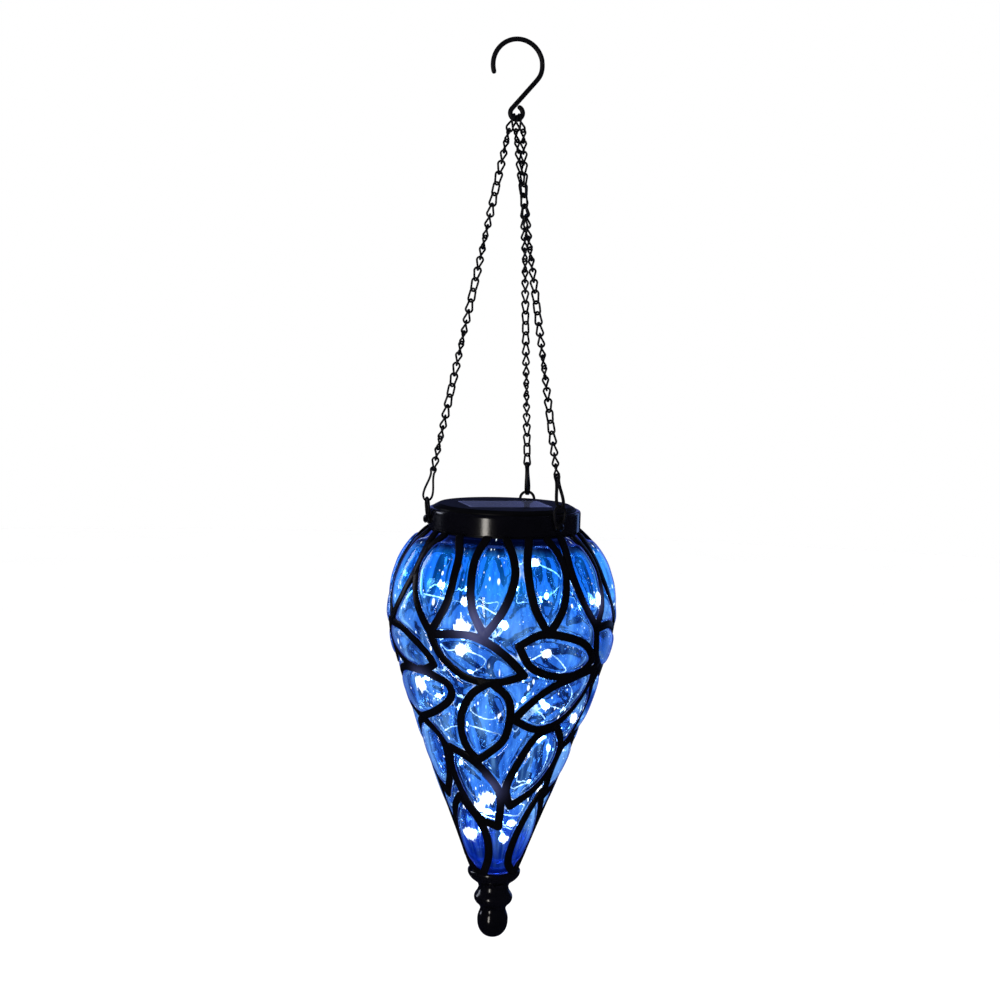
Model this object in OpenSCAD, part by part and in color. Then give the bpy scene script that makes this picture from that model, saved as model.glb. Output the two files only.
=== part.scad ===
// Hanging solar lantern: a blown glass globe in a leaf-pattern strip cage,
// a solar lid in a black collar, three chains, a wire hook and a turned finial.
// Millimetres, +Z up. The origin is the inside top of the hook, where it hangs.

/* [Hook] */
// Thickness of the hook wire
hook_wire = 2.7; // [2.4:0.1:2.8]
// Radius of the hook's bow, to the middle of the wire
hook_r = 14; // [13:0.5:16]
// Radius of the eye at the hook's lower end, to the middle of the wire
eye_r = 3.5; // [3.4:0.1:3.8]
// Depth of the eye's centre below the inside top of the hook
eye_drop = 38.4; // [36:0.2:42]

/* [Chains] */
// Thickness of the chain wire
link_wire = 1.2; // [1.1:0.05:1.25]
// Radius of a link's round ends, to the middle of the wire
link_r = 1.85; // [1.8:0.05:1.95]
// Links in each chain below the one that hangs in the eye
link_count = 32; // [30:1:34]

/* [Collar and lid] */
// Height of the collar's rim below the origin
rim_drop = 256; // [254:0.5:258]
// Outer radius of the collar
collar_r = 42.6; // [42.4:0.1:42.8]
// Height of the collar
collar_h = 11; // [10.8:0.1:11]
// Length of the solar panel, along X
panel_l = 47; // [40:1:48]
// Width of the solar panel, along Y
panel_w = 34; // [28:1:36]
// Outer radius of the battery housing under the lid
housing_r = 34.5; // [34:0.1:34.8]
// Depth of the battery housing's floor below the rim
housing_d = 20; // [19.8:0.1:20.4]

/* [Globe and cage] */
// Width of the cage's flat strips
strip_w = 4.6; // [4:0.1:5]
// Thickness of the cage's flat strips
strip_t = 1.8; // [1.6:0.1:2]
// Thickness of the glass
glass_t = 1.8; // [1.4:0.1:2]

/* [Light string] */
// Thickness of the copper light string
string_d = 0.9; // [0.8:0.1:1]
// Radius of the resin drop round each lamp
bead_r = 1.5; // [1.3:0.1:1.6]

/* [Hidden] */
$fn = 96;

hw = hook_wire / 2;
lw = link_wire / 2;
gap = 0.12;                                // play between two links
side_az = [178, 58, -62];                  // azimuths of the three hangers
// Where each end link leaves the eye and where it ends, along X
top_x = [-1.35, 1.35, 0];
low_x = [-4.2, 4.2, 0];
// Turn of the lower half of each end link, and of the chain's last half link
first_turn = [25, 40, 25];
last_turn = [628, 508, 568];
link_bend = 76;                            // turn from one link to the next

// The eye's inner circle carries the end links at this radius.
hang_r = eye_r - hw - lw - 0.05;
end_z = -eye_drop - hang_r - 8.6;          // middle of the end links' lower wire

// Bails: a wire arch that leans out from the collar
bail_wire = 1.6;
bail_foot_z = -6.2;
bail_lean = 4;
bail_arch_r = 4.2;
bail_rise = 11.7;                          // foot to the middle of the arch's top wire
bail_foot_r = collar_r + bail_wire / 2 + 0.05;
arch_r = bail_foot_r + bail_rise * sin(bail_lean);
arch_z = bail_foot_z + bail_rise * cos(bail_lean);
clip_t = 0.95;                             // thickness of the clip's strip
clip_w = 1.9;                              // width of the strip
clip_l = 19;                               // between the middles of the clip's two end bends

// Radius of the cage's outer face at height h below the rim
cage_table = [
    [-216, 10.5], [-208, 13.6], [-200, 16.4], [-192, 19.2], [-184, 22.3],
    [-172, 26.9], [-160, 31.7], [-148, 36.4], [-136, 41.0], [-124, 45.0],
    [-112, 49.6], [-100, 53.6], [-90, 57.0], [-80, 60.0], [-70, 62.6],
    [-60, 64.0], [-50, 63.4], [-40, 61.4], [-30, 58.0], [-25, 55.4],
    [-20, 52.2], [-16, 49.0], [-13, 46.0], [-10, 42.6], [-7, 38.6]];
function cage_r(h) = (lookup(h - 2, cage_table) + 2 * lookup(h, cage_table)
    + lookup(h + 2, cage_table)) / 4;
function cage_slope(h) = (cage_r(h + 1) - cage_r(h - 1)) / 2;

// Leaves that hang from the collar: middle, tip angle, tip height, half width
hung = [
    [-66, -72, -61, 11], [-40, -37, -63, 13.5], [-5, -8, -62, 11.5],
    [25, 24, -61, 11], [52, 55, -60, 11], [80, 83, -62, 12],
    [110, 108, -63, 12.5], [140, 143, -61, 12], [171, 168, -63, 12.5],
    [202, 204, -62, 12], [232, 229, -61, 12.5], [263, 265, -63, 11.5]];
// Lower leaves: each is base, three points up one edge, tip, three points
// down the other edge, as angle and height. The set repeats half a turn on.
leaves = [
    // leaning leaves under the hung ones
    [[-81, -63], [-62, -63], [-50, -68], [-42, -74], [-37, -81], [-46, -85], [-60, -84], [-75, -76]],
    [[-37, -64], [-18, -62], [-6, -66], [4, -74], [13, -84], [-2, -88], [-18, -86], [-31, -76]],
    [[9, -67], [20, -61], [34, -63], [48, -69], [58, -79], [46, -85], [30, -85], [16, -79]],
    [[55, -61], [68, -60], [82, -65], [97, -71], [103, -82], [90, -87], [74, -86], [61, -77]],
    // the belt of round, upright and rising leaves
    [[-62, -115], [-44, -109], [-30, -100], [-30, -91], [-46, -86], [-66, -87], [-82, -95], [-80, -107]],
    [[-5, -88], [5, -97], [7, -109], [3, -123], [-15, -135], [-24, -125], [-24, -110], [-16, -96]],
    [[10, -110], [17, -102], [30, -92], [46, -87], [65, -84], [59, -99], [44, -112], [26, -116]],
    [[72, -87], [87, -92], [96, -104], [91, -118], [62, -128], [67, -116], [73, -104], [69, -95]],
    // pointed leaves on the taper
    [[-62, -116], [-47, -122], [-42, -132], [-46, -147], [-60, -160], [-74, -148], [-78, -134], [-74, -122]],
    [[-37, -129], [-22, -134], [-8, -143], [4, -157], [4, -176], [-20, -170], [-34, -157], [-40, -141]],
    [[42, -116], [52, -126], [52, -138], [40, -152], [15, -163], [9, -152], [17, -135], [28, -120]],
    [[68, -126], [82, -131], [84, -142], [76, -152], [57, -160], [54, -149], [54, -138], [58, -129]],
    // long leaves that run into the cup
    [[-40, -159], [-22, -171], [-11, -184], [-12, -197], [-28, -208], [-62, -203], [-71, -190], [-58, -171]],
    [[50, -156], [64, -170], [74, -184], [72, -197], [58, -208], [30, -200], [29, -187], [40, -168]],
    [[95, -134], [103, -147], [104, -163], [99, -179], [91, -198], [83, -182], [79, -166], [84, -148]]];
cage_turn = 255;                           // the pattern's own angle 0 in the row's frame

// Route of the light string inside the globe: angle, height below the rim,
// share of the cage's radius. The fourth number is 1 where a lamp sits.
route = [
    [0, -21, 0.00, 0], [8, -24, 0.30, 0], [16, -27, 0.60, 0], [24, -25.5, 0.76, 1],
    [58, -38, 0.80, 0], [90, -51, 0.84, 1], [115, -46, 0.80, 0], [150, -56, 0.82, 1],
    [190, -62, 0.78, 0], [225, -50, 0.82, 1], [262, -54, 0.78, 0], [300, -46, 0.80, 0],
    [336, -47, 0.78, 1], [352, -50, 0.79, 0], [362, -58, 0.78, 1], [352, -66, 0.76, 0],
    [334, -61, 0.80, 1], [314, -65, 0.80, 0], [318, -75, 0.78, 0], [334, -73, 0.76, 1],
    [350, -78, 0.74, 0], [338, -87, 0.78, 1], [312, -88, 0.80, 0], [288, -98, 0.84, 1],
    [306, -105, 0.76, 0], [336, -97, 0.76, 0], [364, -90, 0.76, 0], [391, -74, 0.78, 1],
    [418, -92, 0.80, 0], [445, -117, 0.84, 1], [399, -105, 0.78, 1], [372, -121, 0.72, 0],
    [330, -116, 0.80, 1], [285, -126, 0.76, 0], [240, -114, 0.82, 1], [190, -128, 0.78, 0],
    [150, -120, 0.82, 1], [105, -138, 0.78, 1], [75, -159, 0.80, 1], [40, -152, 0.72, 0],
    [-12, -159, 0.78, 1], [-60, -156, 0.74, 0], [-120, -150, 0.76, 1], [-180, -164, 0.72, 0],
    [-240, -160, 0.74, 1], [-300, -172, 0.66, 0], [-373, -168, 0.74, 1], [-395, -178, 0.62, 0],
    [-409, -183, 0.71, 1], [-470, -188, 0.60, 0], [-520, -180, 0.68, 1], [-600, -186, 0.60, 0],
    [-692, -175, 0.74, 1], [-705, -184, 0.70, 1]];

/* Vector helpers */
function unit(v) = v / norm(v);
function mix(a, b, t) = a * (1 - t) + b * t;
// Catmull-Rom curve through a list of points
function curve_at(p, u) = let (
        n = len(p) - 1, i = min(floor(u), n - 1), t = u - i,
        a = p[max(i - 1, 0)], b = p[i], c = p[i + 1], d = p[min(i + 2, n)])
    0.5 * (2 * b + (c - a) * t + (2 * a - 5 * b + 4 * c - d) * t * t
        + (3 * b - a - 3 * c + d) * t * t * t);
function curve(p, per) = [for (k = [0 : (len(p) - 1) * per]) curve_at(p, k / per)];

// Tube round a list of points; side[i] is a direction square to the path
module tube(p, side, r, n, closed) {
    m = len(p);
    pts = [for (i = [0 : m - 1]) let (
            a = closed ? p[(i + m - 1) % m] : p[max(i - 1, 0)],
            b = closed ? p[(i + 1) % m] : p[min(i + 1, m - 1)],
            t = unit(b - a), s0 = side[i] - t * (side[i] * t), s = unit(s0), q = cross(t, s))
        for (j = [0 : n - 1]) p[i] + r * (s * cos(j * 360 / n) + q * sin(j * 360 / n))];
    last = closed ? m - 1 : m - 2;
    walls = [for (i = [0 : last]) for (j = [0 : n - 1]) let (
            a = i * n + j, b = i * n + (j + 1) % n,
            c = ((i + 1) % m) * n + (j + 1) % n, d = ((i + 1) % m) * n + j)
        each [[a, c, b], [a, d, c]]];
    caps = closed ? [] : [[for (j = [0 : n - 1]) j],
        [for (j = [n - 1 : -1 : 0]) (m - 1) * n + j]];
    polyhedron(points = pts, faces = concat(walls, caps), convexity = 6);
}

module at_rim() { translate([0, 0, -rim_drop]) children(); }

/* Hook */
module hook() {
    shank = 48.5;                          // slope of the straight part
    t = [-sin(shank), 0, cos(shank)] * eye_r - [0, 0, eye_drop];
    e = [hook_r * cos(-23), 0, hook_r * sin(-23) - hook_r + hw];
    color("#15151a") union() {
        translate([0, 0, hw - hook_r]) rotate([90, 0, 0]) rotate([0, 0, -23])
            rotate_extrude(angle = 220) translate([hook_r, 0]) circle(hw, $fn = 32);
        translate([0, 0, hw - hook_r] + [hook_r * cos(197), 0, hook_r * sin(197)])
            sphere(hw + 0.02, $fn = 32);
        translate(e) sphere(hw + 0.02, $fn = 32);
        rod(t, e, hw);
        translate([0, 0, -eye_drop]) rotate([90, 0, 0]) rotate([0, 0, 90 + shank])
            rotate_extrude(angle = 282) translate([eye_r, 0]) circle(hw, $fn = 32);
    }
}
module rod(a, b, r) {
    d = b - a;
    translate(a) rotate([0, acos(d[2] / norm(d)), atan2(d[1], d[0])])
        cylinder(h = norm(d), r = r, $fn = 32);
}

/* Chain links */
// Centreline of a link round the axis: upper and lower half turned apart
function half_turn(r, off, start, turn) = [for (k = [0 : 4]) let (a = start + 45 * k)
    [r * cos(a) * cos(turn), r * cos(a) * sin(turn), off + r * sin(a)]];
function link_line(r, h, up, low) =
    concat(half_turn(r, h, 0, up), half_turn(r, -h, 180, low));
function link_sides(up, low) = [for (k = [0 : 9]) let (a = k < 5 ? up : low)
    [-sin(a), cos(a), 0]];
// Frame whose Z looks back up the direction d
function frame_of(d) = let (z = -unit(d), x = unit([1, 0, 0] - z * z[0])) [x, cross(z, x), z];
module placed(c, d) {
    f = frame_of(d);
    multmatrix([[f[0][0], f[1][0], f[2][0], c[0]],
                [f[0][1], f[1][1], f[2][1], c[1]],
                [f[0][2], f[1][2], f[2][2], c[2]]]) children();
}
module one_link(c, d, r, h, up, low) {
    placed(c, d) tube(link_line(r, h, up, low), link_sides(up, low), lw, 5, true);
}
function eye_end(k) = [top_x[k], 0, -eye_drop - sqrt(hang_r * hang_r - top_x[k] * top_x[k])];
function low_end(k) = [low_x[k], 0, end_z];
module end_link(k) {
    a = eye_end(k);
    b = low_end(k);
    r = 2.35;
    one_link((a + b) / 2, b - a, r, norm(b - a) / 2 - r, 90, first_turn[k]);
}
module top_links() { color("#17171c") for (k = [0 : 2]) end_link(k); }

// Straight line from an end link to the middle of the bail's arch
function arch_point(k) = [arch_r * cos(side_az[k]), arch_r * sin(side_az[k]), arch_z - rim_drop];
function run_dir(k) = unit(arch_point(k) - low_end(k));
// The clip's end bends, on that line
function clip_low(k) = arch_point(k) + run_dir(k) * (bail_wire / 2 + clip_t / 2 + 0.3);
function clip_top(k) = clip_low(k) - run_dir(k) * clip_l;
module chain(k) {
    d = run_dir(k);
    a = low_end(k) - d * (2 * lw + 0.3);               // first link's upper wire
    b = clip_top(k) + d * (1.4 + clip_t / 2);          // last link's lower wire
    pitch = (norm(b - a) - 2 * lw - 2 * gap) / link_count;
    len_c = pitch + 2 * lw + 2 * gap;
    step = (last_turn[k] - first_turn[k]) / link_count;
    color("#17171c") for (i = [0 : link_count - 1]) {
        up = first_turn[k] + i * step + link_bend;
        one_link(a + d * (len_c / 2 + i * pitch), d, link_r, len_c / 2 - link_r,
            up, first_turn[k] + (i + 1) * step);
    }
}
module chain_left() { chain(0); }
module chain_back() { chain(1); }
module chain_front() { chain(2); }

/* Spring clips: a flat strip bent into a loop with a waist, a small eye on top */
function clip_half(s) = s < 0.2 ? 2.6 * sqrt(max(0, 1 - pow(1 - s / 0.2, 2)))
    : s < 0.8 ? 1.72 + 0.88 * cos(180 * (s - 0.2) / 0.6)
    : s < 0.93 ? 1.12 - 0.28 * cos(180 * (s - 0.8) / 0.13)
    : 1.4 * sqrt(max(0, 1 - pow((s - 0.93) / 0.07, 2)));
// s runs from 0 at the lower bend to 1 at the upper one
function clip_line(l) = [for (k = [0 : 43]) let (u = k / 44 * 360, s = (1 - cos(u)) / 2)
    [sign(sin(u)) * clip_half(s), s * l]];
module clip(k) {
    r2 = side_az[k];
    d = run_dir(k);
    // the clip lies in the upright plane through the lantern's middle
    z = -d;
    x = unit([cos(r2), sin(r2), 0] - z * ([cos(r2), sin(r2), 0] * z));
    y = cross(z, x);
    c = clip_low(k);
    p = clip_line(clip_l);
    color("#17171c") multmatrix([[x[0], y[0], z[0], c[0]], [x[1], y[1], z[1], c[1]],
        [x[2], y[2], z[2], c[2]]]) rotate([90, 0, 0])
        linear_extrude(clip_w, center = true) difference() {
            offset(delta = clip_t / 2) polygon(p);
            offset(delta = -clip_t / 2) polygon(p);
        }
}
module clip_left() { clip(0); }
module clip_back() { clip(1); }
module clip_front() { clip(2); }

/* Bails and their screws */
// One wire: up from the foot, over the arch and down again
function bail_line() = let (
        up = [[0, -1.9, 1.1], [0, -3.4, 3.4]],
        over = [for (k = [0 : 8]) let (a = 180 - k * 22.5)
            [0, bail_arch_r * cos(a), bail_rise - bail_arch_r + bail_arch_r * sin(a)]])
    concat(up, over, [for (i = [1 : -1 : 0]) [0, -up[i][1], up[i][2]]]);
module bail() {
    p = bail_line();
    union() {
        translate([bail_foot_r, 0, bail_foot_z]) rotate([0, bail_lean, 0])
            tube(p, [for (q = p) [1, 0, 0]], bail_wire / 2, 10, false);
        translate([bail_foot_r - bail_wire / 2, 0, bail_foot_z]) rotate([0, 90, 0]) difference() {
            cylinder(h = 1.2, r = 2.5, $fn = 32);
            translate([0, 0, -1]) cylinder(h = 4, r = 1.15, $fn = 32);
        }
    }
}
module bails() { color("#17171c") at_rim() for (a = side_az) rotate([0, 0, a]) bail(); }
module bail_screws() {
    color("#2b2b30") at_rim() for (a = side_az) rotate([0, 0, a])
        translate([39.8, 0, bail_foot_z]) rotate([0, 90, 0]) difference() {
            union() {
                cylinder(h = 5.4, r = 1.0, $fn = 32);
                translate([0, 0, 4.6]) cylinder(h = 0.9, r = 2.2, $fn = 32);
                translate([0, 0, 5.5]) cylinder(h = 0.7, r1 = 2.2, r2 = 1.3, $fn = 32);
            }
            translate([-1.3, -0.25, 5.6]) cube([2.6, 0.5, 2]);
            translate([-0.25, -1.3, 5.6]) cube([0.5, 2.6, 2]);
        }
}

/* Collar: a drawn metal ring with an inner ledge and a lip for the lid's tabs */
module collar() {
    r = collar_r;
    color("#131318") at_rim() difference() {
        rotate_extrude() polygon([
            [r, -collar_h], [r, -1.6], [r - 0.15, -0.9], [r - 0.55, -0.35], [r - 1.2, -0.05], [r - 1.6, 0],
            [r - 2.5, 0], [r - 2.5, -0.65], [r - 1.3, -0.65], [r - 1.3, -1.8],
            [r - 5, -1.8], [r - 5, -3], [r - 1.2, -3], [r - 1.2, -collar_h]]);
        for (a = [30 : 120 : 270]) rotate([0, 0, a]) translate([39.6, -5.4, -0.8]) cube([1.6, 10.8, 2]);
        for (a = side_az) rotate([0, 0, a]) translate([38, 0, bail_foot_z]) rotate([0, 90, 0])
            cylinder(h = 8, r = 1.06, $fn = 32);
    }
}

/* Cage */
module cage_top_ring() {
    color("#15151a") at_rim() difference() {
        rotate_extrude() polygon([[39.3, -3.2], [41.3, -3.2], [41.3, -11.1],
            [42.2, -11.1], [42.2, -12.3], [39.3, -12.3]]);
        for (a = side_az) rotate([0, 0, a]) translate([38, 0, bail_foot_z]) rotate([0, 90, 0])
            cylinder(h = 8, r = 1.06, $fn = 32);
    }
}
// Point and outward normal of the cage's middle surface at angle a, height h
function cage_point(q, off) = let (n = cage_normal(q), r = cage_r(q[1]))
    [r * cos(q[0]), r * sin(q[0]), q[1]] + n * off;
function cage_normal(q) = let (s = cage_slope(q[1]), m = sqrt(1 + s * s))
    [cos(q[0]) / m, sin(q[0]) / m, -s / m];
// Flat strip along a path of angle and height, as a closed loop or open
module strip(p, closed) {
    m = len(p);
    mid = [for (q = p) cage_point(q, -strip_t / 2)];
    pts = [for (i = [0 : m - 1]) let (
            a = mid[closed ? (i + m - 1) % m : max(i - 1, 0)],
            c = mid[closed ? (i + 1) % m : min(i + 1, m - 1)],
            n = cage_normal(p[i]), t = unit(c - a),
            // the strip keeps its width across a corner
            f = norm(c - mid[i]) < 0.01 || norm(mid[i] - a) < 0.01 ? 1
                : min(1.5, 1 / max(0.2, unit(c - mid[i]) * t)),
            w = unit(cross(n, t)) * strip_w / 2 * f, o = n * strip_t / 2)
        each [mid[i] - w - o, mid[i] + w - o, mid[i] + w + o, mid[i] - w + o]];
    last = closed ? m - 1 : m - 2;
    walls = [for (i = [0 : last]) for (j = [0 : 3]) let (
            a = 4 * i + j, b = 4 * i + (j + 1) % 4,
            c = 4 * ((i + 1) % m) + (j + 1) % 4, d = 4 * ((i + 1) % m) + j)
        each [[a, c, b], [a, d, c]]];
    caps = closed ? [] : [[0, 1, 2, 3], [4 * m - 1, 4 * m - 2, 4 * m - 3, 4 * m - 4]];
    polyhedron(points = pts, faces = concat(walls, caps), convexity = 8);
}
// Smooth path from base to tip and back: each edge is a curve of its own
function leaf_path(q) = let (
        up = curve([q[0], q[1], q[2], q[3], q[4]], 2),
        down = curve([q[4], q[5], q[6], q[7], q[0]], 2))
    concat([for (i = [0 : len(up) - 2]) up[i]], [for (i = [0 : len(down) - 2]) down[i]]);
function hung_side(l, s) = curve([[l[0] + s * 7, -11.6], [l[0] + s * l[3] * 0.94, -20],
    [l[0] + s * l[3], -31], [mix(l[0], l[1], 0.6) + s * l[3] * 0.7, -47], [l[1], l[2]]], 2);
function hung_path(l) = let (a = hung_side(l, -1), b = hung_side(l, 1), n = len(b))
    concat(a, [for (i = [n - 2 : -1 : 0]) b[i]]);
module cage() {
    color("#15151a") at_rim() rotate([0, 0, cage_turn]) union() {
        for (l = hung) strip(hung_path(l), false);
        for (turn = [0, 180]) for (l = leaves)
            strip([for (v = leaf_path(l)) v + [turn, 0]], true);
        // weld beads inside the hung leaves' tips
        for (i = [0 : 7]) let (l = hung[i]) hull() for (s = [0, 1])
            translate(cage_point([l[1], l[2] + 0.3 * s], -strip_t / 2)) cube(0.6, center = true);
    }
}

/* Glass */
// The globe keeps the same distance from the strips, square to the surface
function glass_r(h) = cage_r(h) - (strip_t + 0.5) * sqrt(1 + pow(cage_slope(h), 2));
function glass_in(h) = cage_r(h) - (strip_t + 0.5 + glass_t) * sqrt(1 + pow(cage_slope(h), 2));
module glass_globe() {
    hs = [for (h = [-16 : -6 : -199]) h];
    outer = [for (h = hs) [glass_r(h), h]];
    inner = [for (i = [len(hs) - 1 : -1 : 0]) [glass_in(hs[i]), hs[i]]];
    color("#2f7df0", 0.45) at_rim() rotate_extrude() polygon(concat(
        [[38.9, -3.9], [38.9, -12.4], [42.4, -13.4]], outer,
        [[13.6, -201.5], [9.5, -204], [0, -205]],
        [[0, -202.6], [8.4, -201.8]], inner,
        [[42, -16.2], [38.6, -14.6], [36.7, -12.8], [36.7, -3.9]]));
}
module glass_gasket() {
    color("#222226") at_rim() difference() {
        translate([0, 0, -3.85]) cylinder(h = 0.8, r = 39.1);
        translate([0, 0, -4]) cylinder(h = 2, r = 37.8);
    }
}

/* Bottom cup, finial and the stud that joins them */
module bottom_cup() {
    color("#15151a") at_rim() rotate_extrude() polygon([
        [14.6, -206.6], [15, -207.4], [14.7, -209.4], [13.2, -211.6], [11, -213.4], [9.3, -214.8],
        [8.7, -216.3], [2.1, -216.3], [2.1, -213.6], [9, -212.4], [12, -210.4], [13.3, -208.4], [13.5, -206.6]]);
}
module finial() {
    color("#15151a") at_rim() difference() {
        rotate_extrude() polygon([[0, -216.4], [8.5, -216.4], [8.6, -217.4], [9.2, -219.2],
            [10.3, -220.9], [10.9, -222.2], [11, -223.4], [10.7, -224.8], [9.8, -226.2], [8.4, -227.6],
            [7.5, -229], [7.3, -230], [7.7, -231.4], [8.3, -233], [8.7, -235], [8.75, -237], [8.5, -239.4],
            [7.8, -241.6], [6.6, -243.6], [4.8, -245.3], [2.6, -246.3], [0, -246.7]]);
        translate([0, 0, -236]) cylinder(h = 30, r = 2.06, $fn = 32);
    }
}
module finial_stud() {
    color("#8d9096") at_rim() translate([0, 0, -235.5]) cylinder(h = 27.2, r = 2, $fn = 32);
}
module finial_nut() {
    color("#8d9096") at_rim() translate([0, 0, -211.8]) difference() {
        cylinder(h = 3.2, r = 4, $fn = 6);
        translate([0, 0, -1]) cylinder(h = 6, r = 2.06, $fn = 32);
    }
}
module finial_washer() {
    color("#8d9096") at_rim() translate([0, 0, -212.6]) difference() {
        cylinder(h = 0.8, r = 5, $fn = 48);
        translate([0, 0, -1]) cylinder(h = 3, r = 2.1, $fn = 32);
    }
}

/* Lid */
boss_az = [60, 180, 300];                  // housing screws
boss_r = 31;
module lid_cover() {
    color("#1b1b20") at_rim() difference() {
        union() {
            rotate_extrude() polygon([[0, -1.6], [35.6, -1.6], [35.6, -3.3], [37.2, -3.3], [37.2, -3],
                [36.4, -3], [36.4, -2], [37.2, -2], [37.2, -1.6],
                [39.7, -1.6], [39.7, 0.7], [39.3, 1.1], [36.8, 2.4], [0, 2.4]]);
            // bayonet tabs under the collar's lip
            for (a = [50 : 120 : 290]) rotate([0, 0, a]) intersection() {
                translate([38, -4.4, -1.5]) cube([3.4, 8.8, 0.75]);
                translate([0, 0, -2]) cylinder(h = 2, r = 41.1);
            }
        }
        translate([-panel_l / 2 - 0.3, -panel_w / 2 - 0.3, 0.4]) cube([panel_l + 0.6, panel_w + 0.6, 4]);
        translate([0, 0, -3]) cylinder(h = 6, r = 1.6, $fn = 32);
        for (a = boss_az) rotate([0, 0, a]) translate([boss_r, 0, -3]) cylinder(h = 4.4, r = 1.02, $fn = 32);
    }
}
module lid_seal() {
    color("#202024") at_rim() translate([0, 0, -2.5]) rotate_extrude() translate([36.92, 0]) circle(0.48, $fn = 24);
}
module panel_board() {
    color("#1b3a7a") at_rim() difference() {
        translate([-panel_l / 2, -panel_w / 2, 0.45]) cube([panel_l, panel_w, 0.8]);
        translate([0, 0, -3]) cylinder(h = 6, r = 1.2, $fn = 32);
    }
}
module solar_cells() {
    w = (panel_l - 3) / 4;
    color("#27408f") at_rim() for (i = [0 : 3])
        translate([-panel_l / 2 + 1.5 + i * w + 0.2, -panel_w / 2 + 1.5, 1.25])
            cube([w - 0.4, panel_w - 3, 0.25]);
}
module panel_resin() {
    color("#7c8fd0", 0.5) at_rim() translate([-panel_l / 2, -panel_w / 2, 1.5]) cube([panel_l, panel_w, 0.75]);
}
module battery_housing() {
    r = housing_r;
    color("#1b1b20") at_rim() difference() {
        union() {
            difference() {
                translate([0, 0, -housing_d]) cylinder(h = housing_d - 1.7, r = r);
                translate([0, 0, -housing_d + 1.6]) cylinder(h = housing_d, r = r - 1.6);
            }
            for (a = boss_az) rotate([0, 0, a]) translate([boss_r, 0, -housing_d]) intersection() {
                cylinder(h = housing_d - 1.7, r = 3.2, $fn = 48);
            }
        }
        for (a = boss_az) rotate([0, 0, a]) translate([boss_r, 0, -housing_d - 1]) {
            cylinder(h = housing_d, r = 1.15, $fn = 32);
            cylinder(h = 3.2, r = 2.3, $fn = 32);
        }
        translate([0, 0, -housing_d - 1]) cylinder(h = 4, r = 2.1, $fn = 32);
        // slot for the switch's slider
        translate([-3.2, 21.9, -housing_d - 1]) cube([6.4, 2.2, 4]);
    }
}
module housing_screws() {
    color("#9a9ca0") at_rim() for (a = boss_az) rotate([0, 0, a]) translate([boss_r, 0, -housing_d + 0.9]) {
        translate([0, 0, 1.3]) cylinder(h = housing_d - 1.9, r = 1, $fn = 32);
        difference() {
            cylinder(h = 1.3, r = 2.1, $fn = 32);
            translate([-1.5, -0.25, -0.1]) cube([3, 0.5, 0.6]);
            translate([-0.25, -1.5, -0.1]) cube([0.5, 3, 0.6]);
        }
    }
}
cell_y = -11.4;
cell_z = -10.4;
module battery_cell() {
    color("#3c8f55") at_rim() translate([0, cell_y, cell_z]) rotate([0, 90, 0]) {
        translate([0, 0, -24.5]) cylinder(h = 48.4, r = 7.1);
        translate([0, 0, 23.9]) cylinder(h = 1.3, r = 2.7, $fn = 48);
    }
}
module battery_cradle() {
    color("#26262b") at_rim() difference() {
        intersection() {
            translate([-29, cell_y - 7.8, -housing_d + 1.65]) cube([58, 15.6, 9]);
            translate([0, 0, -housing_d]) cylinder(h = 12, r = 32.6);
        }
        translate([-27.4, cell_y, cell_z]) rotate([0, 90, 0]) cylinder(h = 54.8, r = 7.25);
    }
}
module contact_plates() {
    color("#c9ccd0") at_rim() {
        translate([25.3, cell_y - 4, cell_z - 4.4]) cube([0.5, 8, 9]);
        translate([-27.3, cell_y - 4, cell_z - 4.4]) cube([0.5, 8, 9]);
    }
}
module contact_spring() {
    p = [for (k = [0 : 30]) let (a = k * 36, q = k / 30)
        [(2.2 + 1.8 * (1 - q)) * cos(a), (2.2 + 1.8 * (1 - q)) * sin(a), 0.32 + q * 1.5]];
    color("#c9ccd0") at_rim() translate([-26.75, cell_y, cell_z]) rotate([0, 90, 0])
        tube(p, [for (q = p) [0, 0, 1]], 0.3, 6, false);
}
module circuit_board() {
    color("#2f7a45") at_rim() difference() {
        translate([-17, 3.4, -13]) cube([34, 14, 1.2]);
        for (x = [-14.5, 14.5]) translate([x, 10.4, -14]) cylinder(h = 4, r = 1.15, $fn = 32);
    }
}
module board_parts() {
    color("#3a3a3f") at_rim() {
        translate([-8, 10, -11.8]) cylinder(h = 4.4, r = 2.6, $fn = 48);
        translate([0, 7, -11.8]) cube([5, 4, 1.6]);
        translate([8.5, 8, -11.8]) cylinder(h = 6, r = 2, $fn = 48);
        translate([0, 13, -11.8]) cube([3, 1.6, 0.8]);
    }
}
module board_screws() {
    color("#9a9ca0") at_rim() for (x = [-14.5, 14.5]) translate([x, 10.4, 0]) {
        translate([0, 0, -housing_d + 1.62]) cylinder(h = 6.6, r = 1.05, $fn = 32);
        translate([0, 0, -11.78]) cylinder(h = 1.1, r = 2, $fn = 32);
    }
}
// Slide switch on the housing's floor; its slider pokes out through the slot
module switch_body() {
    color("#8f9296") at_rim() difference() {
        translate([-4.6, 20.2, -housing_d + 1.65]) cube([9.2, 5.6, 4]);
        translate([-3.4, 21.5, -housing_d + 1]) cube([6.8, 3, 3.2]);
    }
}
module switch_slider() {
    color("#101014") at_rim() {
        translate([-2.6, 21.7, -housing_d + 2.1]) cube([3.2, 2.6, 1.8]);
        translate([-2.2, 22.15, -housing_d - 1.8]) cube([2.4, 1.7, 4.2]);
    }
}

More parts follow.
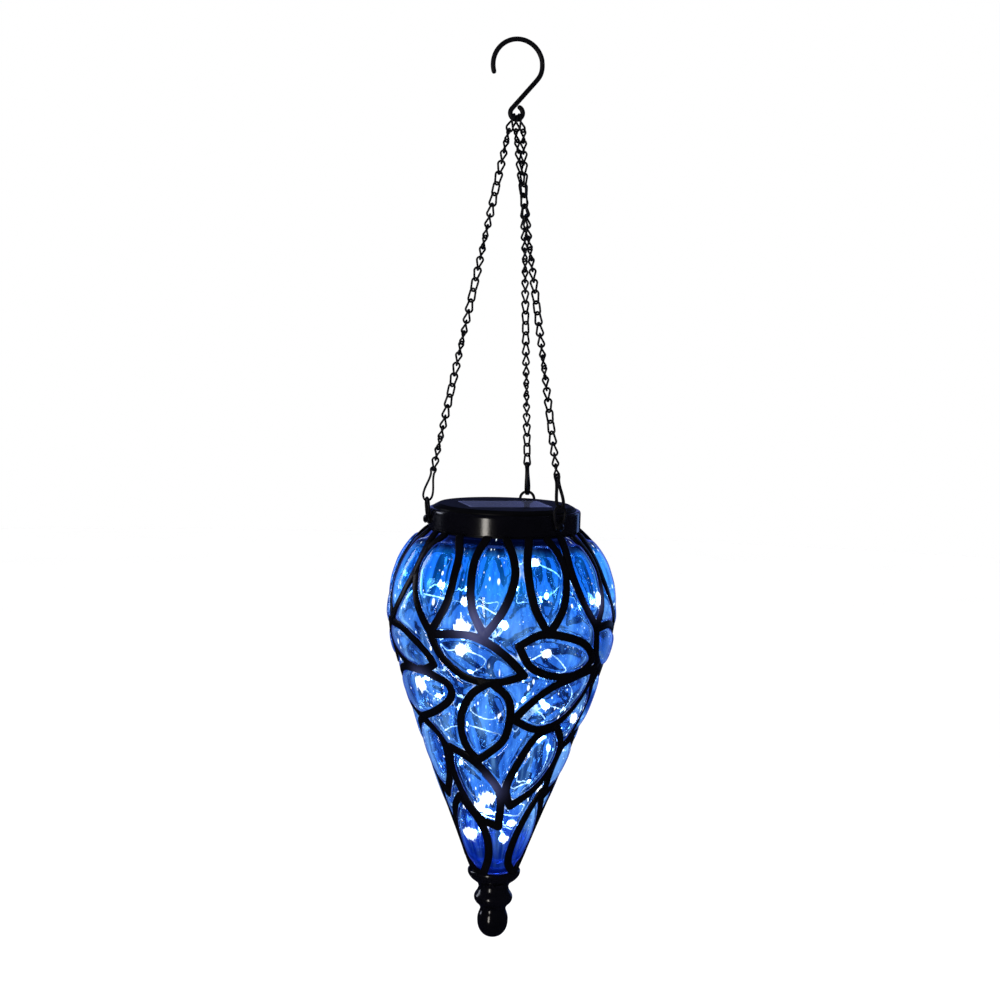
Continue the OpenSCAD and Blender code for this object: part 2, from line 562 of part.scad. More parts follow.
/* Light string and lamps */
module string_grommet() {
    color("#1d1d20") at_rim() translate([0, 0, -housing_d - 1]) difference() {
        union() {
            cylinder(h = 3.6, r = 2, $fn = 48);
            cylinder(h = 0.95, r = 3.2, $fn = 48);
            translate([0, 0, 2.65]) cylinder(h = 0.95, r = 3.2, $fn = 48);
        }
        translate([0, 0, -1]) cylinder(h = 6, r = 0.62, $fn = 32);
    }
}
function string_point(q) = let (r = cage_r(q[1]) * q[2], a = q[0] + cage_turn)
    [r * cos(a), r * sin(a), q[1]];
string_line = let (c = [for (q = curve(route, 3)) string_point(q)])
    concat([[0, 0, -18]], c);
module light_string() {
    m = len(string_line);
    color("#b8733a") at_rim() tube(string_line, [for (i = [0 : m - 1]) i < 4 ? [0, 1, 0.2] : [0.1, 0.2, 1]],
        string_d / 2, 5, false);
}
module lamp_beads() {
    color("#fff2c8") at_rim() for (q = route) if (q[3] == 1)
        translate(string_point(q)) sphere(bead_r, $fn = 24);
}

hook();
top_links();
chain_left();
chain_back();
chain_front();
clip_left();
clip_back();
clip_front();
bails();
bail_screws();
collar();
cage_top_ring();
cage();
glass_globe();
glass_gasket();
bottom_cup();
finial();
finial_stud();
finial_nut();
finial_washer();
lid_cover();
lid_seal();
panel_board();
solar_cells();
panel_resin();
battery_housing();
housing_screws();
battery_cell();
battery_cradle();
contact_plates();
contact_spring();
circuit_board();
board_parts();
board_screws();
switch_body();
switch_slider();
string_grommet();
light_string();
lamp_beads();
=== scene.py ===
import math

import bmesh
import bpy
import numpy as np
from mathutils import Matrix, Vector
from mathutils.kdtree import KDTree


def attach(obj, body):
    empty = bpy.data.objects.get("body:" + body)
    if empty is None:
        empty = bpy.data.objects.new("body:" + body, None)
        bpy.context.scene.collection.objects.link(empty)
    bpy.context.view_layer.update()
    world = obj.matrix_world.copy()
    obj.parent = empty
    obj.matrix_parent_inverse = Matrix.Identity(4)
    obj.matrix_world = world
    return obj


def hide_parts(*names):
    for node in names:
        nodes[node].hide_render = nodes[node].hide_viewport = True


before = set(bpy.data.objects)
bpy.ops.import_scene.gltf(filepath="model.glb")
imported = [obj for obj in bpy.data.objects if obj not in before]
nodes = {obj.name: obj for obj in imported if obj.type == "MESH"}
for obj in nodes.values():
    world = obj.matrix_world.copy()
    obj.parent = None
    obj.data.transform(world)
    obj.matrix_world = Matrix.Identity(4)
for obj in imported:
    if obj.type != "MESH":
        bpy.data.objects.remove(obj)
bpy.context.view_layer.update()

MM = 0.001
scene = bpy.context.scene

# ---------------------------------------------------------------- camera
AZ = math.radians(-15.0)
CAM_D, CAM_Z = 1050.0, -142.99
PITCH, YAW, ROLL = (math.radians(v) for v in (5.904, 0.151, 1.695))


def make_camera():
    right0 = np.array([math.cos(AZ), math.sin(AZ), 0.0])
    into0 = np.array([-math.sin(AZ), math.cos(AZ), 0.0])
    up0 = np.array([0.0, 0.0, 1.0])
    fwd = (-math.sin(YAW) * math.cos(PITCH)) * right0 + (math.cos(YAW) * math.cos(PITCH)) * into0 - math.sin(PITCH) * up0
    right = math.cos(YAW) * right0 + math.sin(YAW) * into0
    up = np.cross(right, fwd)
    r = math.cos(ROLL) * right + math.sin(ROLL) * up
    u = -math.sin(ROLL) * right + math.cos(ROLL) * up
    pos = (-CAM_D * into0 + CAM_Z * up0) * MM
    cam = bpy.data.cameras.new("camera")
    cam.lens = 67.97
    cam.sensor_width = 36.0
    cam.clip_start = 0.02
    cam.clip_end = 50.0
    o = bpy.data.objects.new("camera", cam)
    scene.collection.objects.link(o)
    m = Matrix.Identity(4)
    for i in range(3):
        m[i][0], m[i][1], m[i][2], m[i][3] = r[i], u[i], -fwd[i], pos[i]
    o.matrix_world = m
    scene.camera = o


make_camera()

# ---------------------------------------------------------------- the cage's surface, as in part.scad
RIM = -256.0
STRIP_W, STRIP_T, GLASS_T = 4.6, 1.8, 1.8
TABLE = np.array([
    [-216, 10.5], [-208, 13.6], [-200, 16.4], [-192, 19.2], [-184, 22.3],
    [-172, 26.9], [-160, 31.7], [-148, 36.4], [-136, 41.0], [-124, 45.0],
    [-112, 49.6], [-100, 53.6], [-90, 57.0], [-80, 60.0], [-70, 62.6],
    [-60, 64.0], [-50, 63.4], [-40, 61.4], [-30, 58.0], [-25, 55.4],
    [-20, 52.2], [-16, 49.0], [-13, 46.0], [-10, 42.6], [-7, 38.6]])
TURN = 255.0


def look(h):
    return np.interp(h, TABLE[:, 0], TABLE[:, 1])


def cage_r(h):
    h = np.asarray(h, float)
    return (look(h - 2) + 2 * look(h) + look(h + 2)) / 4


def cage_slope(h):
    return (cage_r(h + 1) - cage_r(h - 1)) / 2


def surf(a, h, off=0.0):
    """Points of the cage's outer face at angle a and height h, moved out by off (mm)."""
    a = np.radians(np.asarray(a, float))
    h = np.asarray(h, float)
    s = cage_slope(h)
    m = np.sqrt(1 + s * s)
    n = np.stack([np.cos(a) / m, np.sin(a) / m, -s / m], -1)
    r = cage_r(h)
    p = np.stack([r * np.cos(a), r * np.sin(a), h], -1)
    off = np.asarray(off, float)
    return p + n * off[..., None] if off.ndim else p + n * off, n


HUNG = [
    (-66, -72, -61, 11), (-40, -37, -63, 13.5), (-5, -8, -62, 11.5),
    (25, 24, -61, 11), (52, 55, -60, 11), (80, 83, -62, 12),
    (110, 108, -63, 12.5), (140, 143, -61, 12), (171, 168, -63, 12.5),
    (202, 204, -62, 12), (232, 229, -61, 12.5), (263, 265, -63, 11.5)]
LEAVES = [
    [(-81, -63), (-62, -63), (-50, -68), (-42, -74), (-37, -81), (-46, -85), (-60, -84), (-75, -76)],
    [(-37, -64), (-18, -62), (-6, -66), (4, -74), (13, -84), (-2, -88), (-18, -86), (-31, -76)],
    [(9, -67), (20, -61), (34, -63), (48, -69), (58, -79), (46, -85), (30, -85), (16, -79)],
    [(55, -61), (68, -60), (82, -65), (97, -71), (103, -82), (90, -87), (74, -86), (61, -77)],
    [(-62, -115), (-44, -109), (-30, -100), (-30, -91), (-46, -86), (-66, -87), (-82, -95), (-80, -107)],
    [(-5, -88), (5, -97), (7, -109), (3, -123), (-15, -135), (-24, -125), (-24, -110), (-16, -96)],
    [(10, -110), (17, -102), (30, -92), (46, -87), (65, -84), (59, -99), (44, -112), (26, -116)],
    [(72, -87), (87, -92), (96, -104), (91, -118), (62, -128), (67, -116), (73, -104), (69, -95)],
    [(-62, -116), (-47, -122), (-42, -132), (-46, -147), (-60, -160), (-74, -148), (-78, -134), (-74, -122)],
    [(-37, -129), (-22, -134), (-8, -143), (4, -157), (4, -176), (-20, -170), (-34, -157), (-40, -141)],
    [(42, -116), (52, -126), (52, -138), (40, -152), (15, -163), (9, -152), (17, -135), (28, -120)],
    [(68, -126), (82, -131), (84, -142), (76, -152), (57, -160), (54, -149), (54, -138), (58, -129)],
    [(-40, -159), (-22, -171), (-11, -184), (-12, -197), (-28, -208), (-62, -203), (-71, -190), (-58, -171)],
    [(50, -156), (64, -170), (74, -184), (72, -197), (58, -208), (30, -200), (29, -187), (40, -168)],
    [(95, -134), (103, -147), (104, -163), (99, -179), (91, -198), (83, -182), (79, -166), (84, -148)]]
ROUTE = np.array([
    [0, -21, 0.00, 0], [8, -24, 0.30, 0], [16, -27, 0.60, 0], [24, -25.5, 0.76, 1],
    [58, -38, 0.80, 0], [90, -51, 0.84, 1], [115, -46, 0.80, 0], [150, -56, 0.82, 1],
    [190, -62, 0.78, 0], [225, -50, 0.82, 1], [262, -54, 0.78, 0], [300, -46, 0.80, 0],
    [336, -47, 0.78, 1], [352, -50, 0.79, 0], [362, -58, 0.78, 1], [352, -66, 0.76, 0],
    [334, -61, 0.80, 1], [314, -65, 0.80, 0], [318, -75, 0.78, 0], [334, -73, 0.76, 1],
    [350, -78, 0.74, 0], [338, -87, 0.78, 1], [312, -88, 0.80, 0], [288, -98, 0.84, 1],
    [306, -105, 0.76, 0], [336, -97, 0.76, 0], [364, -90, 0.76, 0], [391, -74, 0.78, 1],
    [418, -92, 0.80, 0], [445, -117, 0.84, 1], [399, -105, 0.78, 1], [372, -121, 0.72, 0],
    [330, -116, 0.80, 1], [285, -126, 0.76, 0], [240, -114, 0.82, 1], [190, -128, 0.78, 0],
    [150, -120, 0.82, 1], [105, -138, 0.78, 1], [75, -159, 0.80, 1], [40, -152, 0.72, 0],
    [-12, -159, 0.78, 1], [-60, -156, 0.74, 0], [-120, -150, 0.76, 1], [-180, -164, 0.72, 0],
    [-240, -160, 0.74, 1], [-300, -172, 0.66, 0], [-373, -168, 0.74, 1], [-395, -178, 0.62, 0],
    [-409, -183, 0.71, 1], [-470, -188, 0.60, 0], [-520, -180, 0.68, 1], [-600, -186, 0.60, 0],
    [-692, -175, 0.74, 1], [-705, -184, 0.70, 1]], float)


def curve(p, per):
    """Catmull-Rom curve through p, per steps a span, as in part.scad."""
    p = np.asarray(p, float)
    n = len(p) - 1
    out = []
    for k in range(n * per + 1):
        u = k / per
        i = min(int(u), n - 1)
        t = u - i
        a, b, c, d = p[max(i - 1, 0)], p[i], p[i + 1], p[min(i + 2, n)]
        out.append(0.5 * (2 * b + (c - a) * t + (2 * a - 5 * b + 4 * c - d) * t * t
                          + (3 * b - a - 3 * c + d) * t ** 3))
    return np.array(out)


def strip_paths(per=8):
    """Every strip of the cage as a list of (angle, height) points, in the row's angles."""
    out = []
    for a, ta, th, w in HUNG:
        for s in (-1, 1):
            out.append(curve([(a + s * 7, -11.6), (a + s * w * 0.94, -20), (a + s * w, -31),
                              (a * 0.4 + ta * 0.6 + s * w * 0.7, -47), (ta, th)], per))
    for turn in (0, 180):
        for q in LEAVES:
            q = np.array(q, float) + [turn, 0]
            out.append(curve(q[[0, 1, 2, 3, 4]], per))
            out.append(curve(q[[4, 5, 6, 7, 0]], per))
    return [p + [TURN, 0] for p in out]


PATHS = strip_paths()

# ---------------------------------------------------------------- mesh helpers


def new_object(name, verts, faces, smooth=True):
    me = bpy.data.meshes.new(name)
    me.from_pydata([tuple(v) for v in verts], [], [tuple(f) for f in faces])
    me.validate()
    me.update()
    if smooth:
        me.shade_smooth()
    o = bpy.data.objects.new(name, me)
    scene.collection.objects.link(o)
    return o


def frames_along(p, closed, up=None):
    """Unit tangents and a side vector at each point, carried along the path."""
    p = np.asarray(p, float)
    if closed:
        t = np.roll(p, -1, 0) - np.roll(p, 1, 0)
    else:
        t = np.gradient(p, axis=0)
    t /= np.linalg.norm(t, axis=1)[:, None]
    if up is not None:
        s = up - t * np.sum(up * t, 1)[:, None]
        s /= np.linalg.norm(s, axis=1)[:, None]
        return t, s
    s = np.zeros_like(p)
    k = int(np.argmin(np.abs(t[0])))
    e = np.zeros(3)
    e[k] = 1
    v = e - t[0] * t[0].dot(e)
    s[0] = v / np.linalg.norm(v)
    for i in range(1, len(p)):
        v = s[i - 1] - t[i] * t[i].dot(s[i - 1])
        s[i] = v / np.linalg.norm(v)
    if closed:
        # spread the mismatch over the whole loop
        v = s[-1] - t[0] * t[0].dot(s[-1])
        v /= np.linalg.norm(v)
        q = np.cross(t[0], s[0])
        ang = math.atan2(v.dot(q), v.dot(s[0]))
        for i in range(len(p)):
            a = -ang * i / len(p)
            c = np.cross(t[i], s[i])
            s[i] = s[i] * math.cos(a) + c * math.sin(a)
    return t, s


def tube(p, r, n=12, closed=False, up=None, round_ends=True):
    """Vertices and faces of a round tube along p (mm). r may change along it."""
    p = np.asarray(p, float)
    r = np.broadcast_to(np.asarray(r, float), (len(p),)).copy()
    if not closed and round_ends:
        t, _ = frames_along(p, False)
        ks = (0.98, 0.86, 0.6, 0.25)
        head = [p[0] - t[0] * r[0] * k for k in reversed(ks)]
        tail = [p[-1] + t[-1] * r[-1] * k for k in ks]
        rh = [r[0] * math.sqrt(1 - k * k) for k in reversed(ks)]
        rt = [r[-1] * math.sqrt(1 - k * k) for k in ks]
        if up is not None:
            up = np.vstack([[up[0]] * len(ks), up, [up[-1]] * len(ks)])
        p = np.vstack([head, p, tail])
        r = np.concatenate([rh, r, rt])
    t, s = frames_along(p, closed, up)
    q = np.cross(t, s)
    ang = np.arange(n) * 2 * math.pi / n
    ring = (s[:, None, :] * np.cos(ang)[None, :, None] + q[:, None, :] * np.sin(ang)[None, :, None])
    v = (p[:, None, :] + ring * r[:, None, None]).reshape(-1, 3)
    m = len(p)
    f = []
    for i in range(m if closed else m - 1):
        for j in range(n):
            a, b = i * n + j, i * n + (j + 1) % n
            c, d = ((i + 1) % m) * n + (j + 1) % n, ((i + 1) % m) * n + j
            f.append((a, b, c, d))
    if not closed:
        f.append(tuple(range(n - 1, -1, -1)))
        f.append(tuple((m - 1) * n + j for j in range(n)))
    return v, f


def joined(name, parts, smooth=True):
    vs, fs, k = [], [], 0
    for v, f in parts:
        vs.append(np.asarray(v, float) * MM)
        fs += [tuple(i + k for i in g) for g in f]
        k += len(v)
    return new_object(name, np.vstack(vs), fs, smooth)


def lathe(profile, n=160, closed=False):
    """Turns a profile of (r, z) points, from bottom to top on the outside, round Z."""
    pr = np.asarray(profile, float)
    ang = np.arange(n) * 2 * math.pi / n
    v = np.stack([pr[:, None, 0] * np.cos(ang), pr[:, None, 0] * np.sin(ang),
                  np.repeat(pr[:, None, 1], n, 1)], -1).reshape(-1, 3)
    m = len(pr)
    f = []
    for i in range(m if closed else m - 1):
        for j in range(n):
            a, b = i * n + j, i * n + (j + 1) % n
            c, d = ((i + 1) % m) * n + (j + 1) % n, ((i + 1) % m) * n + j
            f.append((a, b, c, d))
    return v, f


def clean(o, dist=1e-6):
    bm = bmesh.new()
    bm.from_mesh(o.data)
    bmesh.ops.remove_doubles(bm, verts=bm.verts, dist=dist)
    bmesh.ops.recalc_face_normals(bm, faces=bm.faces)
    bm.to_mesh(o.data)
    bm.free()
    o.data.update()


def smooth_by_angle(o, deg):
    """Smooth shading, with sharp edges above an angle."""
    me = o.data
    me.shade_smooth()
    bm = bmesh.new()
    bm.from_mesh(me)
    lim = math.radians(deg)
    for e in bm.edges:
        if len(e.link_faces) == 2:
            e.smooth = e.calc_face_angle(0) < lim
    bm.to_mesh(me)
    bm.free()


# ---------------------------------------------------------------- material helpers


class Mat:
    """A node material built in a few words."""

    def __init__(self, name):
        self.m = bpy.data.materials.new(name)
        self.m.use_nodes = True
        self.nt = self.m.node_tree
        self.nt.nodes.clear()
        self.out = self.nt.nodes.new("ShaderNodeOutputMaterial")
        self.b = self.nt.nodes.new("ShaderNodeBsdfPrincipled")
        self.link(self.b.outputs[0], self.out.inputs["Surface"])
        self.tc = None

    def link(self, a, b):
        self.nt.links.new(a, b)

    def node(self, kind, **props):
        n = self.nt.nodes.new(kind)
        for k, v in props.items():
            setattr(n, k, v)
        return n

    def put(self, socket, value):
        if hasattr(value, "default_value") or isinstance(value, bpy.types.NodeSocket):
            self.link(value, socket)
        else:
            socket.default_value = value

    def coords(self, scale=(1, 1, 1), rotation=(0, 0, 0)):
        if self.tc is None:
            self.tc = self.node("ShaderNodeTexCoord")
        if tuple(scale) == (1, 1, 1) and tuple(rotation) == (0, 0, 0):
            return self.tc.outputs["Object"]
        mp = self.node("ShaderNodeMapping")
        mp.inputs["Scale"].default_value = scale
        mp.inputs["Rotation"].default_value = rotation
        self.link(self.tc.outputs["Object"], mp.inputs["Vector"])
        return mp.outputs[0]

    def noise(self, scale, detail=3.0, rough=0.55, vec=None, distortion=0.0):
        n = self.node("ShaderNodeTexNoise")
        n.inputs["Scale"].default_value = scale
        n.inputs["Detail"].default_value = detail
        n.inputs["Roughness"].default_value = rough
        n.inputs["Distortion"].default_value = distortion
        self.link(vec if vec is not None else self.coords(), n.inputs["Vector"])
        return n.outputs["Fac"]

    def voronoi(self, scale, vec=None, feature="F1", rnd=1.0):
        n = self.node("ShaderNodeTexVoronoi", feature=feature)
        n.inputs["Scale"].default_value = scale
        n.inputs["Randomness"].default_value = rnd
        self.link(vec if vec is not None else self.coords(), n.inputs["Vector"])
        return n

    def math(self, op, a, b=None, c=None, clamp=False):
        n = self.node("ShaderNodeMath", operation=op, use_clamp=clamp)
        for i, v in enumerate((a, b, c)):
            if v is not None:
                self.put(n.inputs[i], v)
        return n.outputs[0]

    def remap(self, v, a, b, c, d, smooth=False):
        n = self.node("ShaderNodeMapRange")
        if smooth:
            n.interpolation_type = "SMOOTHSTEP"
        self.put(n.inputs["Value"], v)
        for k, x in zip(("From Min", "From Max", "To Min", "To Max"), (a, b, c, d)):
            self.put(n.inputs[k], x)
        return n.outputs[0]

    def ramp(self, v, stops):
        n = self.node("ShaderNodeValToRGB")
        el = n.color_ramp.elements
        while len(el) < len(stops):
            el.new(0.5)
        for e, (pos, col) in zip(el, stops):
            e.position = pos
            e.color = (*col, 1.0) if len(col) == 3 else col
        self.link(v, n.inputs["Fac"])
        return n.outputs["Color"]

    def mix(self, f, a, b, blend="MIX"):
        n = self.node("ShaderNodeMix", data_type="RGBA", blend_type=blend)
        self.put(n.inputs[0], f)
        for s, v in ((n.inputs[6], a), (n.inputs[7], b)):
            if isinstance(v, bpy.types.NodeSocket):
                self.link(v, s)
            else:
                s.default_value = (*v, 1.0) if len(v) == 3 else v
        return n.outputs[2]

    def cell(self, vor):
        """First channel of a Voronoi cell's own colour."""
        n = self.node("ShaderNodeSeparateColor")
        self.link(vor.outputs["Color"], n.inputs[0])
        return n.outputs[0]

    def attr(self, name):
        n = self.node("ShaderNodeAttribute", attribute_name=name)
        return n.outputs["Fac"]

    def bump(self, height, strength, distance):
        n = self.node("ShaderNodeBump")
        n.inputs["Strength"].default_value = strength
        n.inputs["Distance"].default_value = distance
        self.link(height, n.inputs["Height"])
        self.link(n.outputs[0], self.b.inputs["Normal"])
        return n

    def set(self, **kw):
        for k, v in kw.items():
            s = self.b.inputs[k.replace("_", " ")]
            if isinstance(v, bpy.types.NodeSocket):
                self.link(v, s)
            elif isinstance(v, (tuple, list)) and len(v) == 3:
                s.default_value = (*v, 1.0)
            else:
                s.default_value = v
        return self


def painted(name, dark, light, rough, peel=0.35, spec=0.35, chip=0.0):
    """Sprayed enamel or powder coat: fine orange peel, dust and slight mottling."""
    m = Mat(name)
    broad = m.noise(38, 4)
    fine = m.noise(1400, 2)
    dust = m.noise(5200, 1)
    col = m.mix(m.remap(broad, 0.35, 0.7, 0, 1), dark, light)
    if chip:
        sp = m.remap(m.noise(2600, 3, 0.7), 0.74, 0.8, 0, chip)
        col = m.mix(sp, col, (0.09, 0.09, 0.1))
    m.set(Base_Color=col, Metallic=0.0, Specular_IOR_Level=spec)
    m.set(Roughness=m.remap(m.math("ADD", fine, m.math("MULTIPLY", broad, 0.6)), 0.5, 1.1, rough[0], rough[1]))
    m.bump(m.math("ADD", fine, m.math("MULTIPLY", dust, 0.35)), peel, 0.00006)
    return m.m


def plated(name, base, rough, aniso=0.0, tint=None):
    """Zinc-plated or drawn metal with fine scratches."""
    m = Mat(name)
    grain = m.noise(900, 5, 0.7, m.coords((1, 1, 0.12)))
    broad = m.noise(120, 3)
    lo = tuple(c * 0.78 for c in base)
    m.set(Base_Color=m.mix(m.remap(broad, 0.3, 0.7, 0, 1), lo, tint or base), Metallic=1.0)
    m.set(Roughness=m.remap(grain, 0.3, 0.75, rough[0], rough[1]))
    m.bump(grain, 0.25, 0.00003)
    return m.m


def moulded(name, dark, light, rough, grain_scale=2600, bump=0.4, spec=0.4):
    """Injection-moulded plastic or rubber with a fine spark-eroded grain."""
    m = Mat(name)
    g = m.voronoi(grain_scale)
    n = m.noise(90, 3)
    m.set(Base_Color=m.mix(m.remap(n, 0.3, 0.7, 0, 1), dark, light), Specular_IOR_Level=spec)
    m.set(Roughness=m.remap(m.noise(700, 3), 0.3, 0.7, rough[0], rough[1]))
    m.bump(g.outputs["Distance"], bump, 0.00005)
    return m.m


def put_material(o, mat):
    if not o.material_slots:
        o.data.materials.append(mat)
    for s in o.material_slots:
        s.material = mat


# ---------------------------------------------------------------- materials
BLACK_WIRE = painted("black_wire_enamel", (0.0015, 0.0015, 0.002), (0.004, 0.0038, 0.0055), (0.26, 0.42), 0.5, 0.1)
BLACK_SATIN = painted("black_powder_coat", (0.0008, 0.0008, 0.0012), (0.0016, 0.0015, 0.0028), (0.24, 0.36), 0.4, 0.06)
BLACK_COLLAR = painted("black_collar_enamel", (0.0008, 0.0008, 0.0014), (0.0015, 0.0014, 0.0026), (0.11, 0.17), 0.15, 0.36)
BLACK_GLOSS = painted("black_satin_moulding", (0.001, 0.001, 0.0015), (0.002, 0.002, 0.003), (0.34, 0.46), 0.2, 0.05)
BLACK_PLASTIC = moulded("black_moulded_plastic", (0.008, 0.008, 0.009), (0.014, 0.014, 0.016), (0.42, 0.6))
RUBBER = moulded("black_rubber", (0.01, 0.01, 0.011), (0.02, 0.02, 0.021), (0.62, 0.8), 1800, 0.5, 0.3)
STEEL = plated("zinc_plated_steel", (0.62, 0.63, 0.65), (0.22, 0.4))
BLACK_ZINC = plated("black_zinc_screw", (0.05, 0.05, 0.058), (0.22, 0.38))
KNOB = moulded("switch_knob_plastic", (0.02, 0.02, 0.021), (0.035, 0.035, 0.037), (0.4, 0.55))

# ---------------------------------------------------------------- cage
RING = 12


def strip_section():
    """Rounded rectangle of the strip, across and through: a ring of (w, n) points."""
    w, t, r = STRIP_W / 2, STRIP_T / 2, 0.55
    pts = []
    for cx, cy, a0 in ((w - r, t - r, 0), (-(w - r), t - r, 90), (-(w - r), -(t - r), 180), (w - r, -(t - r), 270)):
        for k in range(3):
            a = math.radians(a0 + 45 * k)
            pts.append((cx + r * math.cos(a), cy + r * math.sin(a)))
    return np.array(pts)


def sweep_strip(path, k_in=0.0):
    """A flat strip with rounded edges along (angle, height), ends drawn in."""
    mid, n = surf(path[:, 0], path[:, 1], -STRIP_T / 2 + k_in)
    seg = np.gradient(mid, axis=0)
    t = seg / np.linalg.norm(seg, axis=1)[:, None]
    w = np.cross(n, t)
    w /= np.linalg.norm(w, axis=1)[:, None]
    n = np.cross(t, w)
    sec = strip_section()
    rings = [mid[i] + w[i] * sec[:, :1] + n[i] * sec[:, 1:] for i in range(len(mid))]
    # rounded ends
    for end, sgn in ((0, -1), (-1, 1)):
        caps = []
        for d, k in ((0.55, 0.93), (1.0, 0.78), (1.3, 0.5)):
            caps.append(mid[end] + sgn * t[end] * d + w[end] * sec[:, :1] * k + n[end] * sec[:, 1:] * (0.5 + 0.5 * k))
        rings = caps[::-1] + rings if end == 0 else rings + caps
    v = np.vstack(rings)
    m, c = len(rings), len(sec)
    f = []
    for i in range(m - 1):
        for j in range(c):
            f.append((i * c + j, i * c + (j + 1) % c, (i + 1) * c + (j + 1) % c, (i + 1) * c + j))
    f.append(tuple(range(c - 1, -1, -1)))
    f.append(tuple((m - 1) * c + j for j in range(c)))
    return v, f


def weld_bead(a, h, r, flat=0.5):
    """A flat welded blob where strips meet."""
    p, n = surf(np.array([a]), np.array([h]), -STRIP_T / 2)
    p, n = p[0], n[0]
    e = np.cross(n, [0, 0, 1.0])
    e /= np.linalg.norm(e)
    g = np.cross(n, e)
    v, f = [], []
    prof = [(0.0, -0.9), (0.62, -0.86), (0.9, -0.55), (1.0, 0.0), (0.9, 0.58), (0.6, 0.9), (0.0, 0.96)]
    k = 14
    v.append(p + n * prof[0][1])
    for rr, z in prof[1:-1]:
        for j in range(k):
            b = 2 * math.pi * j / k
            v.append(p + (e * math.cos(b) + g * math.sin(b)) * rr * r + n * z)
    v.append(p + n * prof[-1][1])
    last = len(v) - 1
    for j in range(k):
        f.append((0, 1 + (j + 1) % k, 1 + j))
        for i in range(len(prof) - 3):
            a0, b0 = 1 + i * k + j, 1 + i * k + (j + 1) % k
            f.append((a0, b0, b0 + k, a0 + k))
        f.append((last, 1 + (len(prof) - 3) * k + j, 1 + (len(prof) - 3) * k + (j + 1) % k))
    return np.array(v), f


def build_cage():
    solids = [sweep_strip(p) for p in PATHS]
    for a, ta, th, w in HUNG:
        solids.append(weld_bead(ta + TURN, th, 2.5))
    for turn in (0, 180):
        for q in LEAVES:
            for a, h in (q[0], q[4]):
                if h > -206:
                    solids.append(weld_bead(a + turn + TURN, h, 2.35))
    objs = []
    for i, (v, f) in enumerate(solids):
        o = new_object("cage_bit_%d" % i, (v + [0, 0, RIM]) * MM, f)
        clean(o)
        objs.append(o)
    col = bpy.data.collections.new("cage_bits")
    for o in objs[1:]:
        col.objects.link(o)
    base = objs[0]
    base.name = "leaf_cage"
    mod = base.modifiers.new("union", "BOOLEAN")
    mod.operation = "UNION"
    mod.operand_type = "COLLECTION"
    mod.collection = col
    mod.solver = "MANIFOLD"
    dg = bpy.context.evaluated_depsgraph_get()
    me = bpy.data.meshes.new_from_object(base.evaluated_get(dg))
    base.modifiers.clear()
    base.data = me
    for o in objs[1:]:
        bpy.data.objects.remove(o)
    bpy.data.collections.remove(col)
    clean(base, 2e-6)
    smooth_by_angle(base, 38)
    return base


def inside_point(q):
    r = cage_r(q[1]) * q[2]
    a = math.radians(q[0] + TURN)
    return np.array([r * math.cos(a), r * math.sin(a), q[1] + RIM])


def glared_strips(o):
    """Powder coat with a faint violet glare near the brightest lamps."""
    co = np.empty(len(o.data.vertices) * 3)
    o.data.vertices.foreach_get("co", co)
    co = co.reshape(-1, 3) / MM
    haze = np.zeros(len(co))
    for turn, h, wide in ((-12, -56, 11.0), (-14, -64, 7.0), (-9, -152, 7.0), (-49, -93, 7.0), (56, -45, 6.0)):
        d = np.linalg.norm(co - inside_point((turn, h, 1.0)), axis=1)
        haze = np.maximum(haze, np.exp(-(d / wide) ** 2))
    at = o.data.attributes.new("glare", "FLOAT", "POINT")
    at.data.foreach_set("value", haze.astype(np.float32))
    mat = painted("black_powder_coat_glare", (0.0008, 0.0008, 0.0012), (0.0016, 0.0015, 0.0028), (0.24, 0.36), 0.4, 0.06)
    nt = mat.node_tree
    a = nt.nodes.new("ShaderNodeAttribute")
    a.attribute_name = "glare"
    k = nt.nodes.new("ShaderNodeMath")
    k.operation = "MULTIPLY"
    k.inputs[1].default_value = 0.22
    nt.links.new(a.outputs["Fac"], k.inputs[0])
    b = [n for n in nt.nodes if n.type == "BSDF_PRINCIPLED"][0]
    b.inputs["Emission Color"].default_value = (0.34, 0.38, 1.0, 1.0)
    nt.links.new(k.outputs[0], b.inputs["Emission Strength"])
    return mat


cage = build_cage()
print("cage faces", len(cage.data.polygons))
put_material(cage, glared_strips(cage))
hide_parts("cage")
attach(cage, "lantern")

# ---------------------------------------------------------------- lamps and light string


def string_line(per):
    c = curve(ROUTE, per)
    p = [inside_point(q) for q in c]
    return np.array([[0, 0, RIM - 18.0]] + p)


def resample(p, step):
    d = np.concatenate([[0], np.cumsum(np.linalg.norm(np.diff(p, axis=0), axis=1))])
    n = int(d[-1] / step) + 1
    s = np.linspace(0, d[-1], n)
    return np.stack([np.interp(s, d, p[:, k]) for k in range(3)], 1), s


def build_string():
    line = string_line(12)
    p, s = resample(line, 0.9)
    t, side = frames_along(p, False)
    q = np.cross(t, side)
    parts = []
    for k in range(2):
        a = s * 2 * math.pi / 7.5 + k * math.pi
        c = p + (side * np.cos(a)[:, None] + q * np.sin(a)[:, None]) * 0.225
        parts.append(tube(c, 0.225, 6))
    return joined("light_wire", parts)


LAMPS = np.array([inside_point(q) for q in ROUTE if q[3] == 1])
